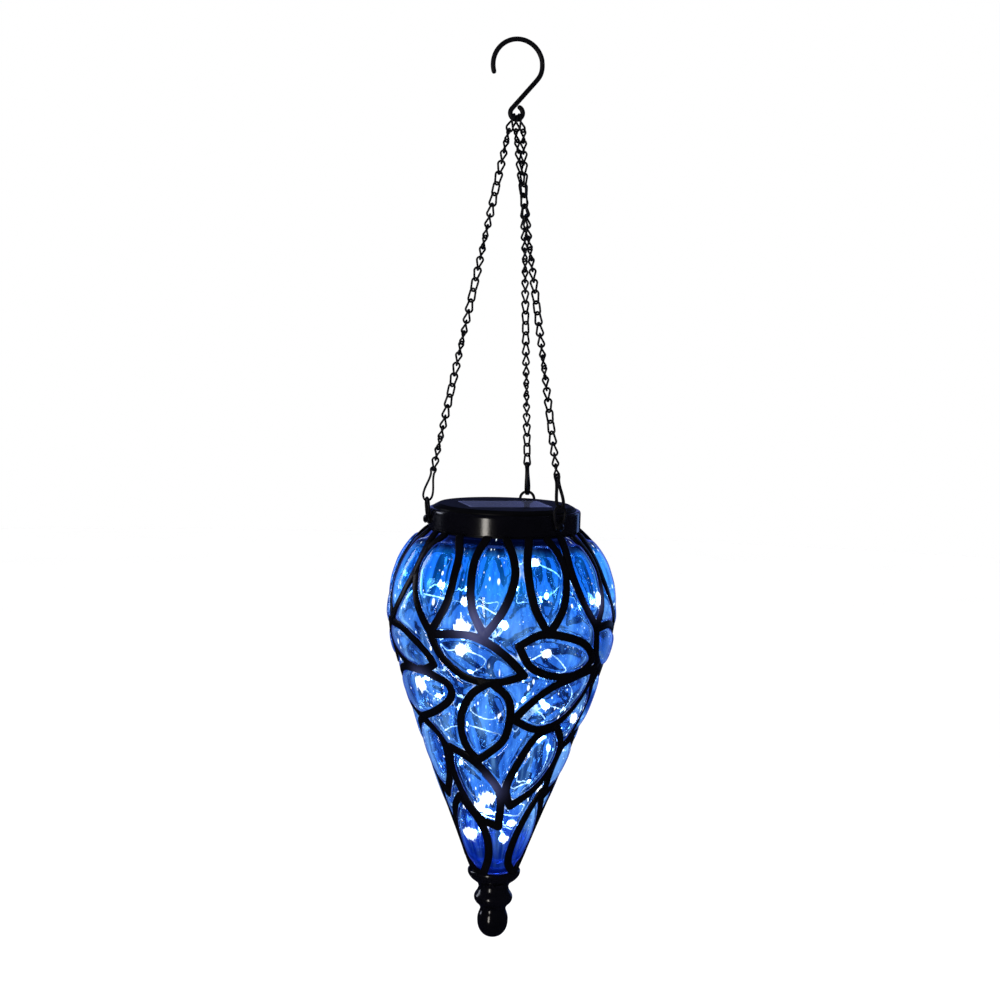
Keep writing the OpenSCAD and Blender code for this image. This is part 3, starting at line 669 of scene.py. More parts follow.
# The glare of each lamp on the glass by its row in ROUTE: spread (mm), brightness, angle and height of its middle
GLARE = {3: (2.8, 0.9, 18, -23), 5: (4.4, 1.5, 56, -45), 12: (2.8, 0.9, -18, -44), 14: (2.6, 0.8, 2, -55),
         16: (4.8, 1.6, -19, -58), 19: (3.7, 1.1, -19, -70), 21: (1.8, 0.5, -14, -87), 23: (4.5, 1.5, -49, -93),
         27: (3.2, 1.0, 23, -71), 29: (3.3, 1.0, 56, -112), 30: (2.6, 0.8, 28, -102), 32: (1.4, 0.35, -20, -116),
         38: (2.8, 0.8, 45, -154), 40: (4.6, 1.5, -9, -157), 46: (3.6, 1.1, -17, -163), 48: (4.4, 1.5, -35, -181),
         52: (2.6, 0.8, 20, -173), 53: (2.8, 0.9, 12, -183)}
LAMP_GLARE = np.array([GLARE.get(i, (1.8, 0.6, q[0], q[1])) for i, q in enumerate(ROUTE) if q[3] == 1])


def build_lamps():
    """A resin drop on the wire at each lamp, drawn out along it."""
    line = string_line(12)
    parts = []
    for c in LAMPS:
        i = int(np.argmin(np.linalg.norm(line - c, axis=1)))
        d = line[min(i + 1, len(line) - 1)] - line[max(i - 1, 0)]
        d /= np.linalg.norm(d)
        zs = np.array([-2.5, -2.2, -1.7, -1.1, -0.4, 0.4, 1.1, 1.7, 2.2, 2.5])
        rs = np.array([0.35, 0.7, 1.2, 1.58, 1.7, 1.7, 1.58, 1.2, 0.7, 0.35])
        parts.append(tube(c + d[None, :] * zs[:, None], rs, 14, round_ends=False))
    o = joined("lamp_drops", parts)
    power = np.concatenate([np.full(len(v), g[1]) for (v, f), g in zip(parts, LAMP_GLARE)])
    at = o.data.attributes.new("lamp_power", "FLOAT", "POINT")
    at.data.foreach_set("value", power.astype(np.float32))
    return o


wire = build_string()
lamps = build_lamps()
for o, node, s in ((wire, "light_string", "copper_wire"), (lamps, "lamp_beads", "lamp_resin")):
    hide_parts(node)
    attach(o, "lid")

m = Mat("enamelled_copper")
g = m.noise(700, 4, 0.6)
m.set(Base_Color=m.mix(m.remap(g, 0.3, 0.7, 0, 1), (0.55, 0.36, 0.26), (0.86, 0.68, 0.56)), Metallic=1.0,
      Roughness=m.remap(g, 0.3, 0.7, 0.2, 0.36))
# painted light: the wire glows in warm patches, as if lit by the lamps along it
m.set(Emission_Color=(1.0, 0.78, 0.66), Emission_Strength=m.remap(m.noise(55, 2), 0.38, 0.62, 0.5, 4.0, True))
m.bump(g, 0.2, 0.00003)
put_material(wire, m.m)

m = Mat("lamp_resin_lit")
lw = m.node("ShaderNodeLayerWeight")
lw.inputs["Blend"].default_value = 0.35
core = m.remap(lw.outputs["Facing"], 0.0, 0.8, 1.0, 0.35)
speck = m.remap(m.noise(1500, 2), 0.3, 0.7, 0.85, 1.1)
m.set(Base_Color=(0.9, 0.95, 1.0), Roughness=0.12, Emission_Color=(0.86, 0.93, 1.0),
      Emission_Strength=m.math("MULTIPLY", m.math("MULTIPLY", core, speck), m.math("MULTIPLY", m.attr("lamp_power"), 42.0)))
put_material(lamps, m.m)

# ---------------------------------------------------------------- glass


def bulge_field(na, nh, h_top, h_bot):
    """Pillow height of the glass between the strips on an (angle, height) grid: a soap-film shape."""
    fine = np.linspace(h_top, h_bot, 2000)
    arc = np.concatenate([[0], np.cumsum(np.hypot(np.diff(fine), np.diff(cage_r(fine))))])
    hs = np.interp(np.linspace(0, arc[-1], nh), arc, fine)
    an = np.arange(na) * 360.0 / na
    A, H = np.meshgrid(an, hs)
    pts, _ = surf(A, H)
    src = []
    for p in PATHS:
        m_, _ = surf(p[:, 0], p[:, 1])
        for a, b in zip(m_[:-1], m_[1:]):
            n = max(1, int(np.linalg.norm(b - a) / 0.4))
            src += [a + (b - a) * i / n for i in range(n)]
        src.append(m_[-1])
    kd = KDTree(len(src))
    for i, p in enumerate(src):
        kd.insert(p, i)
    kd.balance()
    d = np.array([kd.find(p)[2] for p in pts.reshape(-1, 3)]).reshape(nh, na)
    free = (d > STRIP_W / 2 - 0.3) & (H < -13.8) & (H > -205.2)
    r = np.maximum(cage_r(hs), 8.0)
    dx = (r * 2 * math.pi / na)[:, None]
    ds = arc[-1] / (nh - 1)
    wx, wy = 1 / dx ** 2, 1 / ds ** 2
    phi = np.zeros((nh, na))
    for _ in range(500):
        up = np.vstack([phi[:1], phi[:-1]])
        dn = np.vstack([phi[1:], phi[-1:]])
        phi = np.where(free, (wx * (np.roll(phi, 1, 1) + np.roll(phi, -1, 1)) + wy * (up + dn) + 1) / (2 * wx + 2 * wy), 0)
    b = 0.7 * np.sqrt(np.maximum(phi, 0))
    b = 5.2 * (1 - np.exp(-b / 3.9))
    # take the grid's steps off the pillow's foot
    for _ in range(2):
        e = np.pad(b, ((1, 1), (0, 0)), mode="edge")
        b = 0.5 * b + 0.125 * (e[:-2] + e[2:] + np.roll(b, 1, 1) + np.roll(b, -1, 1))
    return hs, an, b


def build_glass():
    na, nh = 384, 212
    hs, an, b = bulge_field(na, nh, -13.6, -205.5)
    A, H = np.meshgrid(an, hs)
    b = b * np.clip((H + 205.5) / 8, 0, 1) * np.clip((-13.6 - H) / 3, 0, 1)
    outer, _ = surf(A, H, -STRIP_T - 0.1 + b)
    # the inside follows the outside more softly
    c = b.copy()
    for _ in range(6):
        e = np.pad(c, ((1, 1), (0, 0)), mode="edge")
        c = 0.25 * (e[:-2] + e[2:] + np.roll(c, 1, 1) + np.roll(c, -1, 1))
    inner, _ = surf(A[::3, ::2], H[::3, ::2], -STRIP_T - 0.1 - GLASS_T + np.minimum(c, b)[::3, ::2] * 0.9)
    verts, faces = [], []

    def ring(pts):
        k = len(verts)
        verts.extend(pts)
        return k, len(pts)

    def circle(r, h, n):
        a = np.radians(np.arange(n) * 360.0 / n)
        return list(np.stack([r * np.cos(a), r * np.sin(a), np.full(n, h)], -1))

    ks = [ring(circle(38.6, -3.9, na))]
    for r, h in ((38.9, -4.2), (38.9, -8), (38.9, -11.4), (39.8, -12.5), (41.8, -13.2), (43.4, -13.7)):
        ks.append(ring(circle(r, h, na)))
    for i in range(1, nh):
        ks.append(ring(list(outer[i])))
    for r, h in ((10.6, -207.2), (7.5, -208.0), (4.0, -208.4)):
        ks.append(ring(circle(r, h, na)))
    tip = len(verts)
    verts.append(np.array([0, 0, -208.5]))
    for (a, n0), (c_, n1) in zip(ks[:-1], ks[1:]):
        for j in range(na):
            faces.append((a + j, c_ + j, c_ + (j + 1) % na, a + (j + 1) % na))
    a, _n = ks[-1]
    faces += [(a + j, tip, a + (j + 1) % na) for j in range(na)]
    n_outer = len(verts)
    half = na // 2
    ki = [ring(circle(36.7, h, half)) for h in (-3.9, -8.5, -12.4)]
    ki.append(ring(circle(37.6, -13.9, half)))
    ki.append(ring(circle(39.8, -15.6, half)))
    hi = hs[::3]
    for i in range(inner.shape[0]):
        if -199 < hi[i] < -18.5:
            ki.append(ring(list(inner[i])))
    ki.append(ring(circle(9.4, -201.4, half)))
    ki.append(ring(circle(4.6, -202.6, half)))
    tip2 = len(verts)
    verts.append(np.array([0, 0, -202.9]))
    for (a, n0), (c_, n1) in zip(ki[:-1], ki[1:]):
        for j in range(half):
            faces.append((a + j, a + (j + 1) % half, c_ + (j + 1) % half, c_ + j))
    a, _n = ki[-1]
    faces += [(a + j, a + (j + 1) % half, tip2) for j in range(half)]
    # the ground lip joins inside and outside
    a, c_ = ks[0][0], ki[0][0]
    for j in range(half):
        p0, p1, p2 = a + 2 * j, a + 2 * j + 1, a + (2 * j + 2) % na
        q0, q1 = c_ + j, c_ + (j + 1) % half
        faces += [(p0, p1, q0), (p1, q1, q0), (p1, p2, q1)]
    V = np.array(verts)
    me = bpy.data.meshes.new("blown_globe")
    me.from_pydata(((V + [0, 0, RIM]) * MM).tolist(), [], faces)
    me.update()
    me.shade_smooth()
    o = bpy.data.objects.new("blown_globe", me)
    scene.collection.objects.link(o)
    W = V + [0, 0, RIM]
    # lamps: light that reaches each point, and a halo where a lamp stands behind the wall
    dl = np.linalg.norm(W[:, None, :] - LAMPS[None, :, :], axis=2)
    far = np.exp(-dl / 20.0).sum(1)
    spot = np.zeros(len(W))
    for glare, power, turn, h in LAMP_GLARE:
        p = inside_point((turn, h, 1.0))
        dd = np.linalg.norm(W - p, axis=1)
        spot = np.maximum(spot, min(1.0, 0.55 + power * 0.4) * np.exp(-(dd / glare) ** 2))
    pil = np.zeros(len(V))
    k0 = ks[7][0]
    pil[k0:k0 + (nh - 1) * na] = b[1:].reshape(-1)
    out = np.zeros(len(V))
    out[:n_outer] = 1.0
    for name, val in (("far_lamp", far), ("lamp_spot", spot), ("pillow", pil), ("outer_face", out)):
        at = me.attributes.new(name, "FLOAT", "POINT")
        at.data.foreach_set("value", val.astype(np.float32))
    return o


glass = build_glass()
print("glass faces", len(glass.data.polygons))
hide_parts("glass_globe")
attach(glass, "lantern")


def glass_material():
    m = Mat("blue_blown_glass")
    sep = m.node("ShaderNodeSeparateXYZ")
    m.link(m.coords(), sep.inputs[0])
    x, y, z = sep.outputs
    r = m.math("SQRT", m.math("ADD", m.math("MULTIPLY", x, x), m.math("MULTIPLY", y, y)))
    rr = m.math("MAXIMUM", r, 0.006)
    ux, uy = m.math("DIVIDE", x, rr), m.math("DIVIDE", y, rr)

    def wrap(around, down):
        """Coordinates that keep their scale round the axis, so marks run down the glass."""
        c = m.node("ShaderNodeCombineXYZ")
        m.link(m.math("MULTIPLY", ux, around), c.inputs[0])
        m.link(m.math("MULTIPLY", uy, around), c.inputs[1])
        m.link(m.math("MULTIPLY", z, down), c.inputs[2])
        return c.outputs[0]

    streak = m.noise(110, 3, 0.5, wrap(0.05, 0.16), 0.9)
    hatch = m.noise(390, 2, 0.5, wrap(0.05, 0.1))
    wave = m.noise(60, 3, 0.5, wrap(0.05, 0.42), 1.5)
    clump = m.noise(75, 2, 0.5, wrap(0.05, 0.8))
    far, spot, pil, outer = m.attr("far_lamp"), m.attr("lamp_spot"), m.attr("pillow"), m.attr("outer_face")
    height = m.remap(z, -0.256 - 0.205, -0.256 - 0.012, 0.0, 1.0)

    # painted light: blue lamp light held in the wall, as a glow that is brighter near the lamps and in a band near the
    # top
    lev = m.math("ADD", m.remap(streak, 0.3, 0.72, -0.34, 0.42), m.remap(wave, 0.3, 0.7, -0.26, 0.3))
    lev = m.math("ADD", lev, m.remap(hatch, 0.3, 0.7, -0.14, 0.14))
    lev = m.math("ADD", lev, m.remap(far, 0.15, 1.6, 0.25, 0.6))
    band = m.math("MULTIPLY", m.remap(height, 0.73, 0.765, 0.0, 1.0, True), m.remap(height, 0.82, 0.87, 1.0, 0.0, True))
    lev = m.math("ADD", lev, m.math("MULTIPLY", band, 0.16))
    glow = m.ramp(lev, [(0.0, (0.0, 0.0005, 0.008)), (0.25, (0.0, 0.002, 0.022)), (0.5, (0.002, 0.012, 0.08)),
                        (0.75, (0.018, 0.07, 0.22)), (1.0, (0.07, 0.19, 0.44))])
    # painted light: an azure glow in the upper part of the wall
    azure = m.math("MULTIPLY", m.remap(height, 0.74, 0.88, 0.0, 1.0, True), m.remap(height, 0.955, 0.975, 1.0, 0.0, True))
    tone = m.mix(m.remap(m.math("ADD", hatch, streak), 0.7, 1.2, 0.0, 1.0, True), (0.0, 0.02, 0.15), (0.0, 0.11, 0.42))
    glow = m.mix(m.math("MULTIPLY", azure, m.remap(wave, 0.35, 0.6, 0.4, 0.95)), glow, tone)
    # the painted glow turns deep blue towards the bottom, and painted shade darkens it just under the collar
    glow = m.mix(m.remap(height, 0.05, 0.17, 0.85, 0.0, True), glow, (0.0, 0.01, 0.16))
    glow = m.mix(m.remap(height, 0.962, 0.98, 0.0, 0.95, True), glow, (0.0, 0.001, 0.01))
    # painted shade: the wall's glow goes dark against the strips that press on it
    glow = m.mix(m.remap(pil, 0.0, 0.7, 0.96, 0.0, True), glow, (0.0, 0.001, 0.01))

    # painted highlight: a bright line where each pillow leaves its strip
    line = m.math("MULTIPLY", m.remap(pil, 0.35, 0.65, 0.0, 1.0, True), m.remap(pil, 0.75, 1.15, 1.0, 0.0, True))
    line = m.math("MULTIPLY", line, m.remap(height, 0.93, 0.965, 1.0, 0.0, True))
    line = m.math("MULTIPLY", line, m.remap(height, 0.06, 0.1, 0.0, 1.0, True))
    line = m.math("MULTIPLY", line, m.remap(m.noise(110, 3, 0.6, wrap(0.05, 0.7)), 0.42, 0.66, 0.0, 1.0, True))

    # painted glints: bright specks, as of seeds and ripples that catch the lamps
    def glints(scale, down, size, keep):
        v = m.voronoi(scale, wrap(0.05, down))
        f = m.math("FRACT", m.math("MULTIPLY", m.cell(v), 7.31))
        pick = m.math("GREATER_THAN", f, keep)
        big = m.remap(m.math("FRACT", m.math("MULTIPLY", m.cell(v), 31.7)), 0.0, 1.0, size * 0.35, size)
        return m.math("MULTIPLY", m.remap(m.math("DIVIDE", v.outputs["Distance"], big), 0.25, 1.0, 1.0, 0.0, True), pick)

    lit = m.math("MULTIPLY", m.remap(far, 0.2, 1.0, 0.25, 1.0), m.remap(clump, 0.46, 0.56, 0.0, 1.0, True))
    g = m.math("ADD", glints(240, 0.36, 0.24, 0.66), glints(430, 0.4, 0.27, 0.55))
    g = m.math("ADD", g, m.math("MULTIPLY", glints(420, 0.14, 0.2, 0.74), 0.6))
    g = m.math("ADD", g, m.math("MULTIPLY", glints(640, 0.5, 0.27, 0.62), 0.7))
    g = m.math("MULTIPLY", m.math("MULTIPLY", g, lit), m.remap(height, 0.1, 0.17, 0.0, 1.45, True))
    star = m.remap(m.noise(420, 3, 0.6, wrap(0.05, 0.6)), 0.3, 0.7, -0.22, 0.22)
    halo = m.math("MULTIPLY", m.remap(m.math("ADD", spot, star), 0.3, 0.75, 0.0, 1.0, True), m.remap(spot, 0.02, 0.2, 0.0, 2.2, True))
    # painted highlights: the glints, the lamp halos and the edge lines, glowing on the outer face only
    painted_highlights = m.math("ADD", m.math("ADD", g, halo), m.math("MULTIPLY", line, 0.4))
    painted_highlights = m.math("MULTIPLY", painted_highlights, outer)

    # painted reflection: lavender glow where the wall is seen on edge
    lw = m.node("ShaderNodeLayerWeight")
    lw.inputs["Blend"].default_value = 0.2
    edge = m.math("MULTIPLY", m.remap(lw.outputs["Facing"], 0.24, 0.56, 0.0, 0.85, True), outer)
    glow = m.mix(edge, glow, (0.025, 0.04, 0.24))
    col = m.mix(m.math("MINIMUM", m.math("MULTIPLY", painted_highlights, 2.0), 1.0), glow, (0.72, 0.86, 1.0))
    # the tint is lighter where the painted glow is stronger, azure near the top, deeper and darker towards the bottom,
    # darkened by painted shade just under the collar, and deeper blue where the wall is seen on edge
    base = m.ramp(m.remap(lev, 0.0, 1.0, 0.22, 0.75), [(0.0, (0.025, 0.13, 0.6)), (0.45, (0.18, 0.46, 0.95)), (1.0, (0.42, 0.72, 1.0))])
    base = m.mix(m.math("MULTIPLY", azure, 0.75), base, (0.08, 0.42, 0.97))
    base = m.mix(m.remap(height, 0.03, 0.22, 0.95, 0.0, True), base, (0.015, 0.12, 0.75))
    base = m.mix(m.remap(height, 0.02, 0.1, 0.97, 0.0, True), base, (0.0003, 0.003, 0.15))
    base = m.mix(m.remap(height, 0.958, 0.978, 0.0, 0.96, True), base, (0.0005, 0.005, 0.06))
    base = m.mix(edge, base, (0.03, 0.1, 0.55))
    m.set(Base_Color=base, IOR=1.46, Transmission_Weight=1.0, Specular_IOR_Level=0.5,
          Roughness=m.remap(m.math("MULTIPLY", m.remap(clump, 0.4, 0.62, 0.0, 1.0, True), m.math("SUBTRACT", 1.0, outer)),
                            0.0, 1.0, 0.0, 0.02),
          Emission_Color=col, Emission_Strength=m.math("ADD", painted_highlights, 1.0))
    m.bump(m.math("ADD", m.math("MULTIPLY", streak, 0.5), m.math("MULTIPLY", wave, 1.4)), 0.08, 0.001)
    return m.m


put_material(glass, glass_material())

# ---------------------------------------------------------------- wire work: hook, chains, clips, bails
HW, EYE_R, EYE_DROP, HOOK_R = 1.35, 3.5, 38.4, 14.0
LW, LINK_R, GAP, COUNT = 0.6, 1.85, 0.12, 32
SIDE_AZ = [178, 58, -62]
TOP_X, LOW_X = [-1.35, 1.35, 0], [-4.2, 4.2, 0]
FIRST_TURN, LAST_TURN, LINK_BEND = [25, 40, 25], [628, 508, 568], 76
HANG_R = EYE_R - HW - LW - 0.05
END_Z = -EYE_DROP - HANG_R - 8.6
COLLAR_R, BAIL_WIRE, FOOT_Z, LEAN, ARCH_R, RISE = 42.6, 1.6, -6.2, 4.0, 4.2, 11.7
FOOT_R = COLLAR_R + BAIL_WIRE / 2 + 0.05
CLIP_T, CLIP_W, CLIP_L = 0.95, 1.9, 19.0


def build_hook():
    pts = []
    c = np.array([0, 0, HW - HOOK_R])
    for a in np.linspace(197, -23, 60):
        a = math.radians(a)
        pts.append(c + HOOK_R * np.array([math.cos(a), 0, math.sin(a)]))
    shank = math.radians(48.5)
    t = np.array([-math.sin(shank), 0, math.cos(shank)]) * EYE_R - [0, 0, EYE_DROP]
    e = pts[-1]
    for k in np.linspace(0, 1, 26)[1:]:
        pts.append(e * (1 - k) + t * k)
    for a in np.linspace(0, 282, 64)[1:]:
        b = math.radians(90 + 48.5 + a)
        pts.append(np.array([EYE_R * math.cos(b), 0, EYE_R * math.sin(b) - EYE_DROP]))
    p = np.array(pts)
    # ease the bend between bow and shank
    for _ in range(10):
        q = p.copy()
        q[50:72] = 0.25 * p[49:71] + 0.5 * p[50:72] + 0.25 * p[51:73]
        p = q
    up = np.tile([0, 1.0, 0], (len(p), 1))
    return joined("wire_hook", [tube(p, HW, 20, up=up)])


def half_turn(r, off, start, turn, step=15):
    out = []
    for k in range(180 // step + 1):
        a = math.radians(start + step * k)
        w = math.radians(turn)
        out.append((r * math.cos(a) * math.cos(w), r * math.cos(a) * math.sin(w), off + r * math.sin(a)))
    return out


def link_mesh(c, d, r, h, up, low, n=8):
    line = np.array(half_turn(r, h, 0, up) + half_turn(r, -h, 180, low))
    k = len(line) // 2
    # blend the two halves' turns along the straight sides
    side = np.array([[-math.sin(math.radians(up if i < k else low)), math.cos(math.radians(up if i < k else low)), 0]
                     for i in range(len(line))])
    z = -d / np.linalg.norm(d)
    x = np.array([1.0, 0, 0]) - z * z[0]
    x /= np.linalg.norm(x)
    y = np.cross(z, x)
    f = np.stack([x, y, z], 1)
    # extra points along the sides
    full, ups = [], []
    m_ = len(line)
    for i in range(m_):
        a, b = line[i], line[(i + 1) % m_]
        full.append(a)
        ups.append(side[i])
        if i in (k - 1, m_ - 1):
            for s in (0.25, 0.5, 0.75):
                full.append(a * (1 - s) + b * s)
                ups.append(side[i] * (1 - s) + side[(i + 1) % m_] * s)
    full, ups = np.array(full), np.array(ups)
    return tube(full @ f.T + c, LW, n, closed=True, up=ups @ f.T)


def eye_end(k):
    return np.array([TOP_X[k], 0, -EYE_DROP - math.sqrt(HANG_R ** 2 - TOP_X[k] ** 2)])


def low_end(k):
    return np.array([LOW_X[k], 0, END_Z])


def end_link(k):
    a, b = eye_end(k), low_end(k)
    r = 2.35
    return link_mesh((a + b) / 2, b - a, r, np.linalg.norm(b - a) / 2 - r, 90, FIRST_TURN[k], 10)


def arch_point(k):
    ar = FOOT_R + RISE * math.sin(math.radians(LEAN))
    az = FOOT_Z + RISE * math.cos(math.radians(LEAN))
    a = math.radians(SIDE_AZ[k])
    return np.array([ar * math.cos(a), ar * math.sin(a), az + RIM])


def run_dir(k):
    v = arch_point(k) - low_end(k)
    return v / np.linalg.norm(v)


def clip_low(k):
    return arch_point(k) + run_dir(k) * (BAIL_WIRE / 2 + CLIP_T / 2 + 0.3)


def clip_top(k):
    return clip_low(k) - run_dir(k) * CLIP_L


def chain_links(k):
    d = run_dir(k)
    a = low_end(k) - d * (2 * LW + 0.3)
    b = clip_top(k) + d * (1.4 + CLIP_T / 2)
    pitch = (np.linalg.norm(b - a) - 2 * LW - 2 * GAP) / COUNT
    len_c = pitch + 2 * LW + 2 * GAP
    step = (LAST_TURN[k] - FIRST_TURN[k]) / COUNT
    return [link_mesh(a + d * (len_c / 2 + i * pitch), d, LINK_R, len_c / 2 - LINK_R,
                      FIRST_TURN[k] + i * step + LINK_BEND, FIRST_TURN[k] + (i + 1) * step) for i in range(COUNT)]


def clip_half(s):
    """Half width of the clip's loop, from its lower bend (0) to its upper one (1)."""
    if s < 0.2:
        return 2.6 * math.sqrt(max(0, 1 - (1 - s / 0.2) ** 2))
    if s < 0.8:
        return 1.72 + 0.88 * math.cos(math.pi * (s - 0.2) / 0.6)
    if s < 0.93:
        return 1.12 - 0.28 * math.cos(math.pi * (s - 0.8) / 0.13)
    return 1.4 * math.sqrt(max(0, 1 - ((s - 0.93) / 0.07) ** 2))


def clip_line(l, n=132):
    out = []
    for k in range(n):
        u = math.radians(k / n * 360)
        s = (1 - math.cos(u)) / 2
        su = math.sin(u)
        sg = 0 if abs(su) < 1e-9 else math.copysign(1, su)
        out.append((sg * clip_half(s), 0, s * l))
    return np.array(out)


def clip_mesh(k):
    """Flat strip with rounded edges, bent into the clip's loop."""
    a = math.radians(SIDE_AZ[k])
    z = -run_dir(k)
    o = np.array([math.cos(a), math.sin(a), 0])
    x = o - z * z.dot(o)
    x /= np.linalg.norm(x)
    y = np.cross(z, x)
    p = clip_line(CLIP_L)
    t = np.roll(p, -1, 0) - np.roll(p, 1, 0)
    t /= np.linalg.norm(t, axis=1)[:, None]
    n = np.cross(t, [0, 1.0, 0])
    w, h, r = CLIP_W / 2, CLIP_T / 2, 0.22
    sec = []
    for cx, cy, a0 in ((w - r, h - r, 0), (-(w - r), h - r, 90), (-(w - r), -(h - r), 180), (w - r, -(h - r), 270)):
        for q in range(3):
            b = math.radians(a0 + 45 * q)
            sec.append((cx + r * math.cos(b), cy + r * math.sin(b)))
    sec = np.array(sec)
    v = (p[:, None, :] + np.array([0, 1.0, 0])[None, None, :] * sec[None, :, :1] + n[:, None, :] * sec[None, :, 1:]).reshape(-1, 3)
    m, c = len(p), len(sec)
    f = [(i * c + j, i * c + (j + 1) % c, ((i + 1) % m) * c + (j + 1) % c, ((i + 1) % m) * c + j)
         for i in range(m) for j in range(c)]
    return v @ np.stack([x, y, z]) + clip_low(k), f


def bail_parts(k):
    up = [(0, -1.9, 1.1), (0, -3.4, 3.4)]
    over = [(0, ARCH_R * math.cos(a), RISE - ARCH_R + ARCH_R * math.sin(a)) for a in np.radians(np.linspace(180, 0, 25))]
    line = np.array(up + over[:1])
    p = np.vstack([curve(np.array([up[0], up[1], over[0]]), 6)[:-1], over,
                   curve(np.array([over[-1], (0, 3.4, 3.4), (0, 1.9, 1.1)]), 6)[1:]])
    ln = math.radians(LEAN)
    rot = np.array([[math.cos(ln), 0, math.sin(ln)], [0, 1, 0], [-math.sin(ln), 0, math.cos(ln)]])
    p = p @ rot.T + [FOOT_R, 0, FOOT_Z]
    az = math.radians(SIDE_AZ[k])
    rz = np.array([[math.cos(az), -math.sin(az), 0], [math.sin(az), math.cos(az), 0], [0, 0, 1]])
    v, f = tube(p, BAIL_WIRE / 2, 14, up=np.tile(rot @ [1.0, 0, 0], (len(p), 1)))
    out = [(v @ rz.T + [0, 0, RIM], f)]
    # foot washer with eased edges, its axis along the collar's radius
    x0 = FOOT_R - BAIL_WIRE / 2
    prof = [(1.15, 0.0), (2.35, 0.0), (2.5, 0.15), (2.5, 1.0), (2.35, 1.2), (1.25, 1.2), (1.15, 1.1)]
    w, g = lathe(prof, 36, closed=True)
    w = np.stack([w[:, 2] + x0, w[:, 0], w[:, 1] + FOOT_Z], 1)
    out.append((w @ rz.T + [0, 0, RIM], g))
    return out


hook = build_hook()
pieces = [(hook, ["hook"], "hook")]
pieces.append((joined("end_link_set", [end_link(k) for k in range(3)]), ["top_links"], "end_links"))
for k, nm in enumerate(("left", "back", "front")):
    pieces.append((joined("curb_chain_" + nm, chain_links(k)), ["chain_" + nm], "lantern"))
    pieces.append((joined("spring_clip_" + nm, [clip_mesh(k)]), ["clip_" + nm], "lantern"))
pieces.append((joined("wire_bails", [q for k in range(3) for q in bail_parts(k)]), ["bails"], "lantern"))
for o, reps, body in pieces:
    clean(o, 1e-7)
    smooth_by_angle(o, 50)
    put_material(o, BLACK_WIRE)
    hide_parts(*reps)
    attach(o, body)

# ---------------------------------------------------------------- cup and finial, turned smooth


def spline_profile(pts, per=6):
    return curve(np.array(pts, float), per)


cup_out = spline_profile([(8.7, -216.3), (9.3, -214.8), (11, -213.4), (13.2, -211.6), (14.7, -209.4), (15, -207.4), (14.6, -206.6)])
cup_in = spline_profile([(14.0, -206.45), (13.5, -206.7), (13.3, -208.4), (12, -210.4), (9, -212.4), (2.1, -213.6)])
cup = joined("turned_cup", [lathe(np.vstack([[(2.1, -216.3)], cup_out, cup_in]) + [0, RIM], 128, closed=True)])
fin = spline_profile([(0.05, -246.7), (2.6, -246.3), (4.8, -245.3), (6.6, -243.6), (7.8, -241.6), (8.5, -239.4), (8.75, -237),
                      (8.7, -235), (8.3, -233), (7.7, -231.4), (7.3, -230), (7.5, -229), (8.4, -227.6), (9.8, -226.2),
                      (10.7, -224.8), (11, -223.4), (10.9, -222.2), (10.3, -220.9), (9.2, -219.2), (8.6, -217.4), (8.5, -216.5)], 4)
finial = joined("turned_finial", [lathe(np.vstack([fin, [(2.15, -216.4), (2.15, -235.9), (0.05, -236)]]) + [0, RIM], 128)])
for o, rep in ((cup, "bottom_cup"), (finial, "finial")):
    clean(o, 2e-5 if o is finial else 1e-6)
    smooth_by_angle(o, 45)
    put_material(o, BLACK_COLLAR)
    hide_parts(rep)
    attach(o, "lantern")

# ---------------------------------------------------------------- CAD nodes that stay
put_material(nodes["collar"], BLACK_COLLAR)
put_material(nodes["cage_top_ring"], BLACK_SATIN)
put_material(nodes["lid_cover"], BLACK_GLOSS)
for n in ("battery_housing", "battery_cradle"):
    put_material(nodes[n], BLACK_PLASTIC)
for n in ("glass_gasket", "lid_seal", "string_grommet"):
    put_material(nodes[n], RUBBER)
for n in ("finial_stud", "finial_nut", "finial_washer", "housing_screws", "contact_plates", "contact_spring", "board_screws", "switch_body"):
    put_material(nodes[n], STEEL)
put_material(nodes["bail_screws"], BLACK_ZINC)
put_material(nodes["switch_slider"], KNOB)

m = Mat("silicon_cells")
co = m.coords()
v = m.voronoi(260)
g = m.node("ShaderNodeTexWave", wave_type="BANDS", bands_direction="Y")
g.inputs["Scale"].default_value = 160
g.inputs["Distortion"].default_value = 0.0
m.link(co, g.inputs["Vector"])
fingers = m.remap(g.outputs["Fac"], 0.93, 0.98, 0, 1)
grain = m.mix(m.cell(v), (0.015, 0.03, 0.16), (0.05, 0.08, 0.34))
m.set(Base_Color=m.mix(m.math("MULTIPLY", fingers, 0.7), grain, (0.5, 0.52, 0.58)), Roughness=0.25)
m.bump(v.outputs["Distance"], 0.1, 0.00003)
put_material(nodes["solar_cells"], m.m)

m = Mat("panel_laminate")
w1 = m.noise(1800, 2, 0.5, m.coords((1, 0.1, 1)))
w2 = m.noise(1800, 2, 0.5, m.coords((0.1, 1, 1)))
m.set(Base_Color=m.mix(m.math("ADD", w1, w2), (0.006, 0.01, 0.06), (0.03, 0.045, 0.2)), Roughness=0.5)
m.bump(m.math("ADD", w1, w2), 0.2, 0.00004)
put_material(nodes["panel_board"], m.m)

m = Mat("cast_resin")
n1 = m.noise(45, 3)
m.set(Base_Color=m.mix(n1, (0.4, 0.46, 0.95), (0.56, 0.62, 1.0)), Roughness=m.remap(m.noise(160, 3), 0.35, 0.7, 0.04, 0.12),
      IOR=1.42, Transmission_Weight=0.9)
m.bump(n1, 0.12, 0.0006)
put_material(nodes["panel_resin"], m.m)

